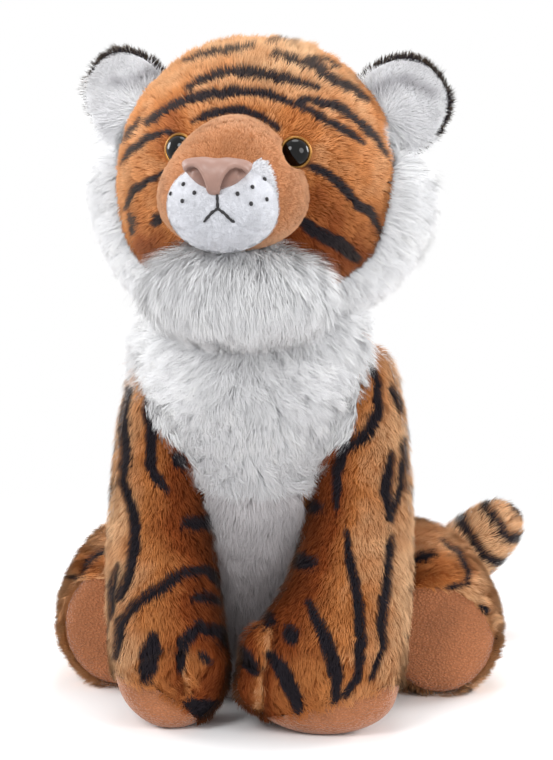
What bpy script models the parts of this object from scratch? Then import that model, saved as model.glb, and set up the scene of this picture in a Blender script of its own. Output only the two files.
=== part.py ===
"""Sitting plush tiger: sewn skins over stuffing, sewn joints, moulded nose and eyes.

Metres, +Z up. The tiger faces -Y, so its own left side is at +X. The origin is the
middle of the flat seat that it sits on. Every soft piece starts as one round form:
the skin is that form less a smaller one, and the stuffing is the smaller one less a gap.
"""

import math

import bmesh
import bpy
from mathutils import Matrix, Vector

# Cloth, gaps and cutters
SEAM_GAP = 0.0003
SKIN = 0.003
FILL_GAP = 0.0013
REST_CUT = 0.0005
OVERRUN = 0.4

# Torso
TORSO_WIDTH = 0.120
TORSO_DEPTH = 0.124
TORSO_HEIGHT = 0.205
# Rings from the seat to the neck: height, half width, half depth, shift to the back
TORSO_SHARES = (
    (0.00, 0.42, 0.42, 0.080),
    (0.00, 0.78, 0.82, 0.080),
    (0.07, 0.97, 0.96, 0.095),
    (0.26, 1.02, 1.01, 0.092),
    (0.48, 1.00, 0.97, 0.045),
    (0.70, 1.00, 0.91, -0.025),
    (0.88, 0.96, 0.85, -0.050),
    (1.00, 0.74, 0.66, -0.050),
)

# White chest bib over the grey belly panel, both let into the front of the torso
BIB_BACK = -0.012
BIB_FOOT = 0.112
# Half outline from the neck down: half width, height above the bib's foot
BIB_OUTLINE_SHARES = ((1.12, 1.12), (1.06, 0.55), (0.82, 0.22), (0.48, 0.08), (0.32, 0.00))
BELLY_WIDTH = 0.040
BELLY_FOOT_WIDTH = 0.030
BELLY_BACK = -0.020

# Bean pouch in the seat
POUCH_RADIUS = 0.044
POUCH_HEIGHT = 0.034

# Neck: a ball of stuffing that the torso and the head both close round
NECK_Y = -0.002
NECK_Z = 0.196
NECK_CENTRE = Vector((0.0, NECK_Y, NECK_Z))
NECK_RADIUS = 0.027
# Room for the faceted ball to turn in its faceted socket
NECK_PLAY = 0.0020
NECK_RELIEF_SLOPE = math.radians(12)

# Head
HEAD_WIDTH = 0.134
HEAD_DEPTH = 0.122
HEAD_HEIGHT = 0.134
HEAD_X = 0.0015
HEAD_Y = -0.008
HEAD_LIFT = 0.0610
HEAD_YAW = math.radians(-10.5)
# Rings from the chin to the crown: height, half width, half depth, shift to the back
HEAD_SHARES = (
    (0.005, 0.28, 0.28, 0.03),
    (0.09, 0.74, 0.70, 0.02),
    (0.27, 0.99, 0.95, 0.00),
    (0.49, 1.03, 1.03, 0.00),
    (0.71, 0.97, 0.97, 0.01),
    (0.89, 0.72, 0.72, 0.02),
    (0.995, 0.30, 0.32, 0.02),
)

# Muzzle and snout, measured from the head's centre; they point along the head's front
MUZZLE_WIDTH = 0.0695
MUZZLE_HEIGHT = 0.064
MUZZLE_LIFT = 0.0075
MUZZLE_ROOT = 0.026
MUZZLE_TIP = 0.096
MUZZLE_TAPER_SHARE = 0.34
MUZZLE_SHARES = ((0.0, 0.86), (0.30, 0.96), (0.60, 1.02), (0.84, 0.84), (0.98, 0.42))
SNOUT_WIDTH = 0.0535
SNOUT_HEIGHT = 0.044
SNOUT_LIFT = 0.0003
SNOUT_ROOT = 0.062
SNOUT_TIP = 0.109
SNOUT_SHARES = ((0.0, 0.92), (0.35, 1.02), (0.66, 0.98), (0.87, 0.76), (0.98, 0.38))

# Moulded nose: a rounded triangle with two nostrils, a stem and a lock washer
NOSE_WIDTH = 0.0350
NOSE_HEIGHT = 0.0195
NOSE_DEPTH = 0.017
NOSE_FORWARD = 0.102
NOSE_LIFT = 0.0170
NOSE_TILT = math.radians(-24)
# Rings from the lip to the bridge: height, half width, half depth, shift forward
NOSE_SHARES = (
    (0.00, 0.16, 0.36, 0.02),
    (0.22, 0.38, 0.72, 0.02),
    (0.50, 0.78, 0.98, 0.04),
    (0.78, 1.02, 0.98, 0.02),
    (0.97, 0.86, 0.66, -0.08),
)
NOSTRIL_LENGTH = 0.0095
NOSTRIL_WIDTH = 0.0032
NOSTRIL_OUT = 0.0082
NOSTRIL_SLANT = math.radians(38)
NOSTRIL_DEPTH_SHARE = 0.47
STEM_RADIUS = 0.0024
NOSE_STEM = 0.017

# Safety eyes
EYE_RADIUS = 0.0077
EYE_DOME = 0.0046
EYE_RIM = 0.0012
EYE_STEM = 0.013
EYE_OUT = 0.0280
EYE_LIFT = 0.0212
EYE_SINK = 0.0018
EYE_TURN = math.radians(20)
EYE_RISE = math.radians(12)
WASHER_RADIUS = 0.0060
WASHER_THICKNESS = 0.0014

# Ears: a plush back and a white lining, cupped, on the head's upper corners
EAR_WIDTH = 0.045
EAR_HEIGHT = 0.038
EAR_CUP = 0.007
EAR_BACK_THICKNESS = 0.0050
EAR_LINING_THICKNESS = 0.0028
# Place on the head: out, back and up, as shares of its half width, depth and height
EAR_PLACE_SHARES = (0.860, 0.230, 0.396)
EAR_LEAN = math.radians(50)
EAR_FACE_TURN = math.radians(14)
EAR_FOLD = math.radians(18)
# Rows from inside the head to the tip: height, half width, thickness
EAR_SHARES = (
    (-0.20, 0.78, 1.00),
    (0.12, 0.98, 1.00),
    (0.52, 1.04, 0.90),
    (0.88, 0.72, 0.75),
    (1.00, 0.32, 0.50),
)
# Places across an ear row, edge to edge
EAR_ROW_SHARES = (-1.0, -0.4, 0.4, 1.0)

# Ruffs of long white pile: spine points from the head's centre, as shares of the head's
# half width, half depth and half height, then the pile's half width and half depth
RUFF_SPREAD = 0.0185
RUFF_THICKNESS = 0.0165
CHEEK_RUFF_SHARES = (
    (0.50, 0.42, -0.76, 0.78, 0.86),
    (0.73, 0.16, -0.69, 1.00, 0.98),
    (0.94, -0.02, -0.38, 1.08, 1.00),
    (1.04, -0.10, -0.08, 0.98, 0.92),
    (1.06, -0.14, 0.18, 0.56, 0.66),
)
CHIN_RUFF_SPREAD = 0.0240
CHIN_RUFF_THICKNESS = 0.0230
CHIN_RUFF_SHARES = (
    (-0.62, 0.66, -0.73, 0.45, 0.44),
    (-0.42, 0.86, -0.69, 0.86, 0.82),
    (0.00, 1.02, -0.65, 1.04, 1.03),
    (0.42, 0.86, -0.69, 0.86, 0.82),
    (0.62, 0.66, -0.73, 0.45, 0.44),
)

# Front legs, from the shoulder to the toes: out to the side, forward, up, half width,
# half depth. The left paw turns in and reaches further than the right one.
FRONT_LEG_SET_IN = 0.010
FRONT_LEG_OUT = TORSO_WIDTH / 2 - FRONT_LEG_SET_IN
FRONT_LEG_WIDTH = 0.062
FRONT_LEG_HEIGHT = 0.165
SHOULDER_Y = -0.012
# The leg swings from the seam at its top and back, so that all of it leaves the torso
SHOULDER_SEAM_Y = 0.004
SHOULDER_SEAM_Z = 0.176
FRONT_LEG_RAISE = math.radians(35)
FRONT_LEG_ROOM = 0.0012
# The soles' upper edge climbs to the toes, so the cloth shows from the front
PAW_SOLE_RISE = 0.0035
PAW_SOLE_HEEL = 0.060
PAW_SOLE_TILT = math.radians(17)
LEFT_FRONT_REACH = 0.101
RIGHT_FRONT_REACH = 0.091
LEFT_FRONT_LEG_SHARES = (
    (0.98, 0.00, 1.060, 0.46, 0.36),
    (1.00, 0.02, 0.970, 0.70, 0.70),
    (1.04, 0.16, 0.760, 0.78, 0.90),
    (1.04, 0.40, 0.530, 0.84, 0.96),
    (0.90, 0.66, 0.320, 1.00, 1.00),
    (0.62, 0.88, 0.147, 1.34, 1.00),
    (0.55, 1.02, 0.131, 1.20, 0.84),
    (0.53, 1.10, 0.131, 0.66, 0.44),
)
RIGHT_FRONT_LEG_SHARES = (
    (0.84, 0.00, 1.045, 0.42, 0.36),
    (0.86, 0.02, 0.960, 0.64, 0.70),
    (0.92, 0.16, 0.760, 0.74, 0.90),
    (0.92, 0.42, 0.530, 0.82, 0.96),
    (0.88, 0.70, 0.320, 0.90, 1.00),
    (0.79, 0.90, 0.144, 0.92, 1.00),
    (0.76, 1.03, 0.129, 0.82, 0.84),
    (0.75, 1.11, 0.129, 0.42, 0.44),
)

# Hind legs, from the hip to the sole: out to the side, forward, up, half width, half height
HIP_SET_IN = 0.0005
HIP_PLANE = TORSO_WIDTH / 2 - HIP_SET_IN
HIP_Y = 0.044
HIP_Z = 0.030
HIND_LEG_WIDTH = 0.062
HIND_LEG_HEIGHT = 0.076
SOLE_THICKNESS = 0.0060
# How far each foot stands out past the torso's side, and how far forward
LEFT_HIND_SPLAY = 0.033
RIGHT_HIND_SPLAY = 0.008
LEFT_HIND_REACH = 0.040
RIGHT_HIND_REACH = 0.026
HIND_LEG_LENGTH = 0.098
HIND_LEG_SHARES = (
    (0.66, 0.00, 0.36, 0.42, 0.36),
    (0.72, 0.10, 0.44, 0.84, 0.84),
    (0.84, 0.34, 0.50, 1.04, 1.03),
    (0.94, 0.62, 0.48, 1.04, 1.00),
    (1.00, 0.84, 0.42, 0.98, 0.88),
    (1.00, 0.975, 0.40, 0.92, 0.86),
    (1.00, 1.00, 0.40, 0.60, 0.56),
)

# Tail: out to the left, back, up, radius
TAIL_SPAN = 0.132
TAIL_BACK = 0.090
TAIL_LIFT = 0.063
TAIL_RADIUS = 0.0160
# The tail swings from its side that is nearest the middle, so that all of it leaves the torso
TAIL_ROOT_OUT = 0.004
TAIL_ROOT_BACK = 0.070
TAIL_ROOT_LIFT = 0.032
TAIL_ROOT = Vector((TAIL_ROOT_OUT, TAIL_ROOT_BACK, TAIL_ROOT_LIFT))
TAIL_SHARES = (
    (0.09, 0.60, 0.54, 0.70),
    (0.18, 0.80, 0.43, 0.95),
    (0.38, 0.99, 0.21, 1.02),
    (0.62, 1.01, 0.26, 1.03),
    (0.84, 0.97, 0.67, 1.05),
    (0.98, 0.94, 0.95, 0.92),
    (1.03, 0.935, 1.04, 0.42),
)

# Counts: sides of a cage, turned steps, steps of a quarter arc
CAGE_SIDES = 8
TURN_STEPS = 16
SMALL_TURN_STEPS = 12
ARC_STEPS = 4
MERGE = 0.00001

X_AXIS = Vector((1.0, 0.0, 0.0))
Y_AXIS = Vector((0.0, 1.0, 0.0))
Z_AXIS = Vector((0.0, 0.0, 1.0))
SIDES = (("left", 1.0), ("right", -1.0))

HEAD_CENTRE = NECK_CENTRE + Vector((HEAD_X - NECK_CENTRE.x, HEAD_Y - NECK_CENTRE.y, HEAD_LIFT))
HEAD_FRAME = Matrix.Translation(HEAD_CENTRE) @ Matrix.Rotation(HEAD_YAW, 4, "Z")


# Scene helpers

def clear_scene():
    for obj in list(bpy.data.objects):
        bpy.data.objects.remove(obj, do_unlink=True)


def new_collection(name):
    group = bpy.data.collections.new(name)
    bpy.context.scene.collection.children.link(group)
    return group


def principled(name, colour, roughness, metallic=0.0):
    material = bpy.data.materials.new(name)
    material.use_nodes = True
    shader = material.node_tree.nodes["Principled BSDF"]
    shader.inputs["Base Color"].default_value = (*colour, 1.0)
    shader.inputs["Roughness"].default_value = roughness
    shader.inputs["Metallic"].default_value = metallic
    material.diffuse_color = (*colour, 1.0)
    return material


def add_object(name, mesh, group, material=None):
    obj = bpy.data.objects.new(name, mesh)
    group.objects.link(obj)
    if material is not None:
        mesh.materials.append(material)
    else:
        obj.hide_render = True
        obj.display_type = "WIRE"
    return obj


def finish_mesh(bm, name):
    bmesh.ops.recalc_face_normals(bm, faces=bm.faces)
    mesh = bpy.data.meshes.new(name)
    bm.to_mesh(mesh)
    bm.free()
    mesh.shade_smooth()
    return mesh


# Round forms: a coarse cage of rings, rounded by one subdivision

def ring(centre, side, up, half_side, half_up, taper_share=0.0):
    """An oval ring; a taper share narrows its upper half and widens its lower half."""
    # One subdivision pulls the corners of a ring in by this share
    rounding = (3 + math.cos(math.tau / CAGE_SIDES)) / 4
    points = []
    for index in range(CAGE_SIDES):
        angle = math.tau * (index + 0.5) / CAGE_SIDES
        narrowing = 1 - taper_share * math.sin(angle)
        points.append(centre
                      + side * (half_side * narrowing * math.cos(angle) / rounding)
                      + up * (half_up * math.sin(angle) / rounding))
    return points


def upright_rings(shares, base, width, depth, height, inset):
    rings = []
    for up_share, wide_share, deep_share, shift_share in shares:
        rise = up_share * height + inset * (1 - 2 * up_share)
        centre = base + Vector((0.0, shift_share * depth, rise))
        rings.append(ring(centre, X_AXIS, Y_AXIS,
                          wide_share * width / 2 - inset, deep_share * depth / 2 - inset))
    return rings


def spine_rings(stations, inset, across=X_AXIS, taper_share=0.0):
    """Rings square to a bent spine of (centre, half width, half depth)."""
    rings = []
    last = len(stations) - 1
    for index, (centre, half_wide, half_deep) in enumerate(stations):
        before = stations[max(index - 1, 0)][0]
        after = stations[min(index + 1, last)][0]
        ahead = (after - before).normalized()
        side = (across - ahead * across.dot(ahead)).normalized()
        up = ahead.cross(side)
        moved = centre + ahead * (inset * (1 - 2 * index / last))
        least = inset / 2 if inset > 0 else 0.0
        rings.append(ring(moved, side, up, max(half_wide - inset, least),
                          max(half_deep - inset, least), taper_share))
    return rings


def form(name, rings, group, material=None, frame=None):
    bm = bmesh.new()
    loops = [[bm.verts.new(point) for point in points] for points in rings]
    for low, high in zip(loops, loops[1:]):
        for index in range(len(low)):
            following = (index + 1) % len(low)
            bm.faces.new((low[index], low[following], high[following], high[index]))
    bm.faces.new(loops[0])
    bm.faces.new(loops[-1])
    if frame is not None:
        bmesh.ops.transform(bm, matrix=frame, verts=bm.verts)
    obj = add_object(name, finish_mesh(bm, name), group, material)
    rounding = obj.modifiers.new("Rounding", "SUBSURF")
    rounding.levels = 1
    rounding.render_levels = 1
    return obj


# Turned, flat and boxed shapes

def turned(name, profile, group, frame, steps, material=None, closed=False):
    """A profile of (radius, height) turned round the frame's Z axis."""
    bm = bmesh.new()
    points = [bm.verts.new((radius, 0.0, height)) for radius, height in profile]
    for first, second in zip(points, points[1:]):
        bm.edges.new((first, second))
    if closed:
        bm.edges.new((points[-1], points[0]))
    mesh = bpy.data.meshes.new(name)
    bm.to_mesh(mesh)
    bm.free()
    obj = add_object(name, mesh, group, material)
    obj.matrix_world = frame
    screw = obj.modifiers.new("Turning", "SCREW")
    screw.axis = "Z"
    screw.steps = steps
    screw.render_steps = steps
    screw.use_merge_vertices = True
    screw.merge_threshold = MERGE
    screw.use_smooth_shade = True
    return obj


def box(name, low, high, group):
    bm = bmesh.new()
    bmesh.ops.create_cube(bm, size=1.0)
    low = Vector(low)
    high = Vector(high)
    spread = Matrix.Diagonal((*(high - low), 1.0))
    bmesh.ops.transform(bm, matrix=Matrix.Translation((low + high) / 2) @ spread, verts=bm.verts)
    return add_object(name, finish_mesh(bm, name), group)


def ball(name, centre, radius, group, material=None):
    bm = bmesh.new()
    bmesh.ops.create_uvsphere(bm, u_segments=SMALL_TURN_STEPS, v_segments=SMALL_TURN_STEPS // 2 + 2,
                              radius=radius, matrix=Matrix.Translation(centre))
    return add_object(name, finish_mesh(bm, name), group, material)


def upright_prism(name, outline, front, back, group):
    """A flat outline of (x, z), drawn out from front to back along Y."""
    bm = bmesh.new()
    face = bm.faces.new([bm.verts.new((x, front, z)) for x, z in outline])
    drawn = bmesh.ops.extrude_face_region(bm, geom=[face])
    moved = [item for item in drawn["geom"] if isinstance(item, bmesh.types.BMVert)]
    bmesh.ops.translate(bm, verts=moved, vec=(0.0, back - front, 0.0))
    return add_object(name, finish_mesh(bm, name), group)


# Cutting and hanging

def combine(obj, other, operation="DIFFERENCE"):
    modifier = obj.modifiers.new(f"{operation.title()} {other.name}"[:60], "BOOLEAN")
    modifier.operation = operation
    modifier.solver = "EXACT"
    modifier.object = other


def cut_by(obj, *cutters):
    for cutter in cutters:
        combine(obj, cutter)


def turned_copy(cutter, pivot, axis, angle):
    """A cutter turned about a hinge, which clears a piece that folds the other way."""
    turn = Matrix.Rotation(angle, 4, axis)
    copy = cutter.copy()
    copy.matrix_world = Matrix.Translation(pivot) @ turn @ Matrix.Translation(-pivot) @ cutter.matrix_world
    cutter.users_collection[0].objects.link(copy)
    return copy


def pivot_empty(name, place, group):
    empty = bpy.data.objects.new(name, None)
    empty.location = place
    empty.empty_display_size = NECK_RADIUS
    group.objects.link(empty)
    return empty


def hang(pieces, empty):
    bpy.context.view_layer.update()
    for piece in pieces:
        piece.parent = empty
        piece.matrix_parent_inverse = empty.matrix_world.inverted()


# Torso, bib, belly and pouch

def torso_rings(inset):
    base = Vector((0.0, 0.0, -REST_CUT))
    return upright_rings(TORSO_SHARES, base, TORSO_WIDTH, TORSO_DEPTH, TORSO_HEIGHT, inset)


def bib_outline(grow):
    reach = TORSO_HEIGHT - BIB_FOOT
    right = []
    for wide_share, up_share in BIB_OUTLINE_SHARES:
        right.append((wide_share * TORSO_WIDTH / 2 + grow, BIB_FOOT + up_share * reach - grow))
    left = [(-x, z) for x, z in reversed(right)]
    return right + left


def belly_outline(grow):
    top = BELLY_WIDTH / 2 + grow
    foot = BELLY_FOOT_WIDTH / 2 + grow
    lift = BIB_FOOT - SEAM_GAP + grow
    return [(top, lift), (foot, -BELLY_WIDTH), (-foot, -BELLY_WIDTH), (-top, lift)]


def build_torso(parts, cutters, tools, looks):
    skin = form("torso_skin", torso_rings(0.0), parts, looks["orange"])
    bib = form("chest_bib", torso_rings(0.0), parts, looks["white"])
    belly = form("belly_panel", torso_rings(0.0), parts, looks["belly"])
    stuffing = form("torso_stuffing", torso_rings(SKIN + FILL_GAP), parts, looks["stuffing"])
    pouch = form("bean_pouch", torso_rings(SKIN + FILL_GAP), parts, looks["pouch"])
    inner = form("torso_inner", torso_rings(SKIN), cutters)

    for name, piece, outline, back in (("bib", bib, bib_outline, BIB_BACK),
                                       ("belly", belly, belly_outline, BELLY_BACK)):
        window = upright_prism(f"{name}_window", outline(SEAM_GAP), -OVERRUN, back + SEAM_GAP, cutters)
        block = upright_prism(f"{name}_block", outline(0.0), -OVERRUN, back, cutters)
        cut_by(skin, window)
        combine(piece, block, "INTERSECT")
    # The belly panel stops short of the bib
    cut_by(belly, upright_prism("bib_edge", bib_outline(SEAM_GAP), -OVERRUN, BELLY_BACK, cutters))

    for piece in (skin, bib, stuffing):
        cut_by(piece, tools["neck_relief"], tools["neck_ball"])
    for piece in (skin, bib, belly):
        cut_by(piece, inner)
    for piece in (skin, belly):
        cut_by(piece, tools["floor"])

    dome = [(0.0, POUCH_HEIGHT)]
    for step in range(1, ARC_STEPS + 1):
        angle = math.pi / 2 * step / ARC_STEPS
        dome.append((POUCH_RADIUS * math.sin(angle), POUCH_HEIGHT * math.cos(angle)))
    dome += [(POUCH_RADIUS, -POUCH_HEIGHT), (0.0, -POUCH_HEIGHT)]
    mould = turned("pouch_mould", dome, cutters, Matrix.Identity(4), SMALL_TURN_STEPS)
    hollow_profile = [(radius and radius + SEAM_GAP, height + SEAM_GAP) for radius, height in dome]
    hollow = turned("pouch_hollow", hollow_profile, cutters, Matrix.Identity(4), SMALL_TURN_STEPS)
    combine(pouch, mould, "INTERSECT")
    cut_by(stuffing, hollow)


# Neck and head

def build_neck(parts, looks):
    return [ball("neck_stuffing", NECK_CENTRE, NECK_RADIUS - NECK_PLAY, parts, looks["stuffing"])]


def head_rings(inset):
    base = Vector((0.0, 0.0, -HEAD_HEIGHT / 2))
    return upright_rings(HEAD_SHARES, base, HEAD_WIDTH, HEAD_DEPTH, HEAD_HEIGHT, inset)


def facing_rings(shares, width, height, lift, root, tip, inset, taper_share=0.0):
    """Rings across the head's front direction, from a root inside it to a tip."""
    stations = []
    for ahead_share, size_share in shares:
        centre = Vector((0.0, -(root + ahead_share * (tip - root)), lift))
        stations.append((centre, size_share * width / 2, size_share * height / 2))
    return spine_rings(stations, inset, X_AXIS, taper_share)


def muzzle_rings(inset):
    return facing_rings(MUZZLE_SHARES, MUZZLE_WIDTH, MUZZLE_HEIGHT, MUZZLE_LIFT,
                        MUZZLE_ROOT, MUZZLE_TIP, inset, MUZZLE_TAPER_SHARE)


def snout_rings(inset):
    return facing_rings(SNOUT_SHARES, SNOUT_WIDTH, SNOUT_HEIGHT, SNOUT_LIFT,
                        SNOUT_ROOT, SNOUT_TIP, inset)


def eye_frame(side):
    """The eye's seat on the head, with Z pointing out of it."""
    across = EYE_OUT / (HEAD_WIDTH / 2)
    rise = EYE_LIFT / (HEAD_HEIGHT / 2)
    forward = HEAD_DEPTH / 2 * math.sqrt(1 - across ** 2 - rise ** 2) - EYE_SINK
    place = Matrix.Translation(Vector((side * EYE_OUT, -forward, EYE_LIFT)))
    aim = Matrix.Rotation(side * EYE_TURN, 4, "Z") @ Matrix.Rotation(math.pi / 2 - EYE_RISE, 4, "X")
    return HEAD_FRAME @ place @ aim


def stemmed_disc(radius, stem_radius, stem_length):
    """The rim, back and stem of an eye: the lower part of its turned profile."""
    return [(radius, 0.0), (stem_radius, 0.0), (stem_radius, -stem_length), (0.0, -stem_length)]


def washer(name, frame, depth, group, material):
    low = -depth - WASHER_THICKNESS
    inner = STEM_RADIUS + SEAM_GAP
    profile = [(WASHER_RADIUS, -depth), (WASHER_RADIUS, low), (inner, low), (inner, -depth)]
    return turned(name, profile, group, frame, SMALL_TURN_STEPS, material, closed=True)


def build_eyes(parts, cutters, looks, skin, stuffing, muzzle_pieces):
    pieces = []
    depth = SKIN + EYE_SINK + SEAM_GAP
    for side_name, side in SIDES:
        frame = eye_frame(side)
        dome = [(0.0, EYE_RIM + EYE_DOME)]
        for step in range(1, ARC_STEPS + 1):
            angle = math.pi / 2 * step / ARC_STEPS
            dome.append((EYE_RADIUS * math.sin(angle), EYE_RIM + EYE_DOME * math.cos(angle)))
        profile = dome + stemmed_disc(EYE_RADIUS, STEM_RADIUS, EYE_STEM)
        pieces.append(turned(f"{side_name}_eye", profile, parts, frame, TURN_STEPS, looks["eye"]))
        pieces.append(washer(f"{side_name}_eye_washer", frame, depth, parts, looks["washer"]))
        wide = EYE_RADIUS + SEAM_GAP
        narrow = STEM_RADIUS + SEAM_GAP
        behind = WASHER_RADIUS + SEAM_GAP
        seat = [(0.0, OVERRUN), (wide, OVERRUN), (wide, -SEAM_GAP), (narrow, -SEAM_GAP),
                (narrow, SEAM_GAP - depth), (behind, SEAM_GAP - depth), (behind, -EYE_STEM), (0.0, -EYE_STEM)]
        cut_by(skin, turned(f"{side_name}_eye_seat", seat, cutters, frame, SMALL_TURN_STEPS))
        room = [(0.0, OVERRUN), (wide, OVERRUN), (wide, -EYE_STEM - SEAM_GAP), (0.0, -EYE_STEM - SEAM_GAP)]
        cut_by(stuffing, turned(f"{side_name}_eye_room", room, cutters, frame, SMALL_TURN_STEPS))
        # The muzzle is pressed in beside the eye
        top = EYE_RIM + EYE_DOME + SEAM_GAP
        clear = [(0.0, top), (wide, top), (wide, -EYE_SINK), (0.0, -EYE_SINK)]
        hollow = turned(f"{side_name}_eye_clear", clear, cutters, frame, SMALL_TURN_STEPS)
        for piece in muzzle_pieces:
            cut_by(piece, hollow)
    return pieces


def build_nose(parts, cutters, looks, snout, muzzle, muzzle_stuffing):
    place = Matrix.Translation(Vector((0.0, -NOSE_FORWARD, NOSE_LIFT)))
    frame = HEAD_FRAME @ place @ Matrix.Rotation(NOSE_TILT, 4, "X")

    def rings(inset):
        base = Vector((0.0, 0.0, -NOSE_HEIGHT / 2))
        return upright_rings([(up, wide, deep, -shift) for up, wide, deep, shift in NOSE_SHARES],
                             base, NOSE_WIDTH, NOSE_DEPTH, NOSE_HEIGHT, inset)

    nose = form("nose", rings(0.0), parts, looks["nose"], frame)
    stem_frame = frame @ Matrix.Rotation(math.pi / 2, 4, "X")
    stem_profile = [(0.0, 0.0), (STEM_RADIUS, 0.0), (STEM_RADIUS, -NOSE_STEM), (0.0, -NOSE_STEM)]
    combine(nose, turned("nose_stem", stem_profile, cutters, stem_frame, SMALL_TURN_STEPS), "UNION")
    for side_name, side in SIDES:
        bm = bmesh.new()
        bmesh.ops.create_uvsphere(bm, u_segments=10, v_segments=6, radius=0.5)
        spread = Matrix.Diagonal((NOSTRIL_LENGTH, NOSTRIL_WIDTH, NOSTRIL_WIDTH, 1.0))
        lean = Matrix.Rotation(side * NOSTRIL_SLANT, 4, "Y")
        where = Matrix.Translation((side * NOSTRIL_OUT, -NOSTRIL_DEPTH_SHARE * NOSE_DEPTH, 0.0))
        bmesh.ops.transform(bm, matrix=frame @ where @ lean @ spread, verts=bm.verts)
        cut_by(nose, add_object(f"{side_name}_nostril", finish_mesh(bm, "nostril"), cutters))

    seat = form("nose_seat", rings(-SEAM_GAP), cutters, None, frame)
    wide = STEM_RADIUS + SEAM_GAP
    hole_profile = [(0.0, 0.0), (wide, 0.0), (wide, -OVERRUN), (0.0, -OVERRUN)]
    hole = turned("nose_hole", hole_profile, cutters, stem_frame, SMALL_TURN_STEPS)
    room_radius = WASHER_RADIUS + SEAM_GAP
    room_profile = [(0.0, 0.0), (room_radius, 0.0), (room_radius, -NOSE_STEM - SEAM_GAP),
                    (0.0, -NOSE_STEM - SEAM_GAP)]
    room = turned("nose_room", room_profile, cutters, stem_frame, SMALL_TURN_STEPS)
    cut_by(snout, seat, hole)
    cut_by(muzzle, seat, hole)
    cut_by(muzzle_stuffing, seat, room)
    depth = NOSE_STEM - WASHER_THICKNESS - STEM_RADIUS
    return [nose, washer("nose_washer", stem_frame, depth, parts, looks["washer"])]


def build_head(parts, cutters, tools, looks):
    skin = form("head_skin", head_rings(0.0), parts, looks["orange"], HEAD_FRAME)
    stuffing = form("head_stuffing", head_rings(SKIN + FILL_GAP), parts, looks["stuffing"], HEAD_FRAME)
    cut_by(skin, form("head_inner", head_rings(SKIN), cutters, None, HEAD_FRAME))

    muzzle = form("muzzle_skin", muzzle_rings(0.0), parts, looks["muzzle"], HEAD_FRAME)
    snout = form("snout_skin", snout_rings(0.0), parts, looks["white"], HEAD_FRAME)
    filling = form("muzzle_stuffing", muzzle_rings(SKIN + FILL_GAP), parts, looks["stuffing"], HEAD_FRAME)
    muzzle_inner = form("muzzle_inner", muzzle_rings(SKIN), cutters, None, HEAD_FRAME)
    cut_by(muzzle, muzzle_inner, form("snout_clear", snout_rings(-SEAM_GAP), cutters, None, HEAD_FRAME))
    cut_by(snout, form("snout_inner", snout_rings(SKIN), cutters, None, HEAD_FRAME), muzzle_inner)
    combine(filling, form("snout_core", snout_rings(SKIN + FILL_GAP), cutters, None, HEAD_FRAME), "UNION")

    cut_by(muzzle, tools["head_clear"])
    cut_by(filling, tools["head_clear"])
    for piece in (skin, stuffing):
        cut_by(piece, tools["head_floor"], tools["neck_ball"])
    pieces = [skin, stuffing, muzzle, snout, filling]
    pieces += build_eyes(parts, cutters, looks, skin, stuffing, (muzzle, filling))
    pieces += build_nose(parts, cutters, looks, snout, muzzle, filling)
    return pieces


# Ruffs

def ruff_rings(shares, side, spread, thickness, inset):
    stations = []
    for out, forward, up, wide_share, deep_share in shares:
        centre = Vector((side * out * HEAD_WIDTH / 2, -forward * HEAD_DEPTH / 2, up * HEAD_HEIGHT / 2))
        stations.append((centre, wide_share * thickness, deep_share * spread))
    return spine_rings(stations, inset, Y_AXIS)


def build_ruffs(parts, cutters, tools, looks):
    pieces = []
    muzzle_clear = form("muzzle_clear", muzzle_rings(-SEAM_GAP), cutters, None, HEAD_FRAME)
    snout_clear = form("snout_clear_of_ruff", snout_rings(-SEAM_GAP), cutters, None, HEAD_FRAME)
    chin_rings = ruff_rings(CHIN_RUFF_SHARES, 1.0, CHIN_RUFF_SPREAD, CHIN_RUFF_THICKNESS, 0.0)
    chin = form("chin_ruff", chin_rings, parts, looks["white"], HEAD_FRAME)
    cut_by(chin, tools["head_clear"], tools["head_floor"], muzzle_clear, snout_clear)
    chin_clear_rings = ruff_rings(CHIN_RUFF_SHARES, 1.0, CHIN_RUFF_SPREAD, CHIN_RUFF_THICKNESS, -SEAM_GAP)
    chin_clear = form("chin_clear", chin_clear_rings, cutters, None, HEAD_FRAME)
    pieces.append(chin)
    for side_name, side in SIDES:
        rings = ruff_rings(CHEEK_RUFF_SHARES, side, RUFF_SPREAD, RUFF_THICKNESS, 0.0)
        cheek = form(f"{side_name}_cheek_ruff", rings, parts, looks["white"], HEAD_FRAME)
        cut_by(cheek, tools["head_clear"], tools["head_floor"], chin_clear)
        pieces.append(cheek)
    return pieces


# Ears

def ear_frame(side):
    """Ear frame: X across the ear, Z to its tip, -Y out of its lining."""
    out_share, back_share, up_share = EAR_PLACE_SHARES
    place = Matrix.Translation(Vector((side * out_share * HEAD_WIDTH / 2, back_share * HEAD_DEPTH / 2,
                                       up_share * HEAD_HEIGHT / 2)))
    lean = Matrix.Rotation(side * EAR_LEAN, 4, "Y")
    face = Matrix.Rotation(side * EAR_FACE_TURN, 4, "Z")
    return HEAD_FRAME @ place @ face @ lean


def ear_rings(front, back):
    """Cupped layers, from depth `front` before the middle surface to depth `back` behind it."""
    rings = []
    for up_share, wide_share, thick_share in EAR_SHARES:
        rise = up_share * EAR_HEIGHT
        near = []
        far = []
        for across_share in EAR_ROW_SHARES:
            x = across_share * wide_share * EAR_WIDTH / 2
            hollow = EAR_CUP * wide_share * (1 - across_share ** 2)
            edge = 1 - across_share ** 2 / 2
            near.append(Vector((x, hollow - front * thick_share * edge, rise)))
            far.append(Vector((x, hollow + back * thick_share * edge, rise)))
        rings.append(near + far[::-1])
    return rings


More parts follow.
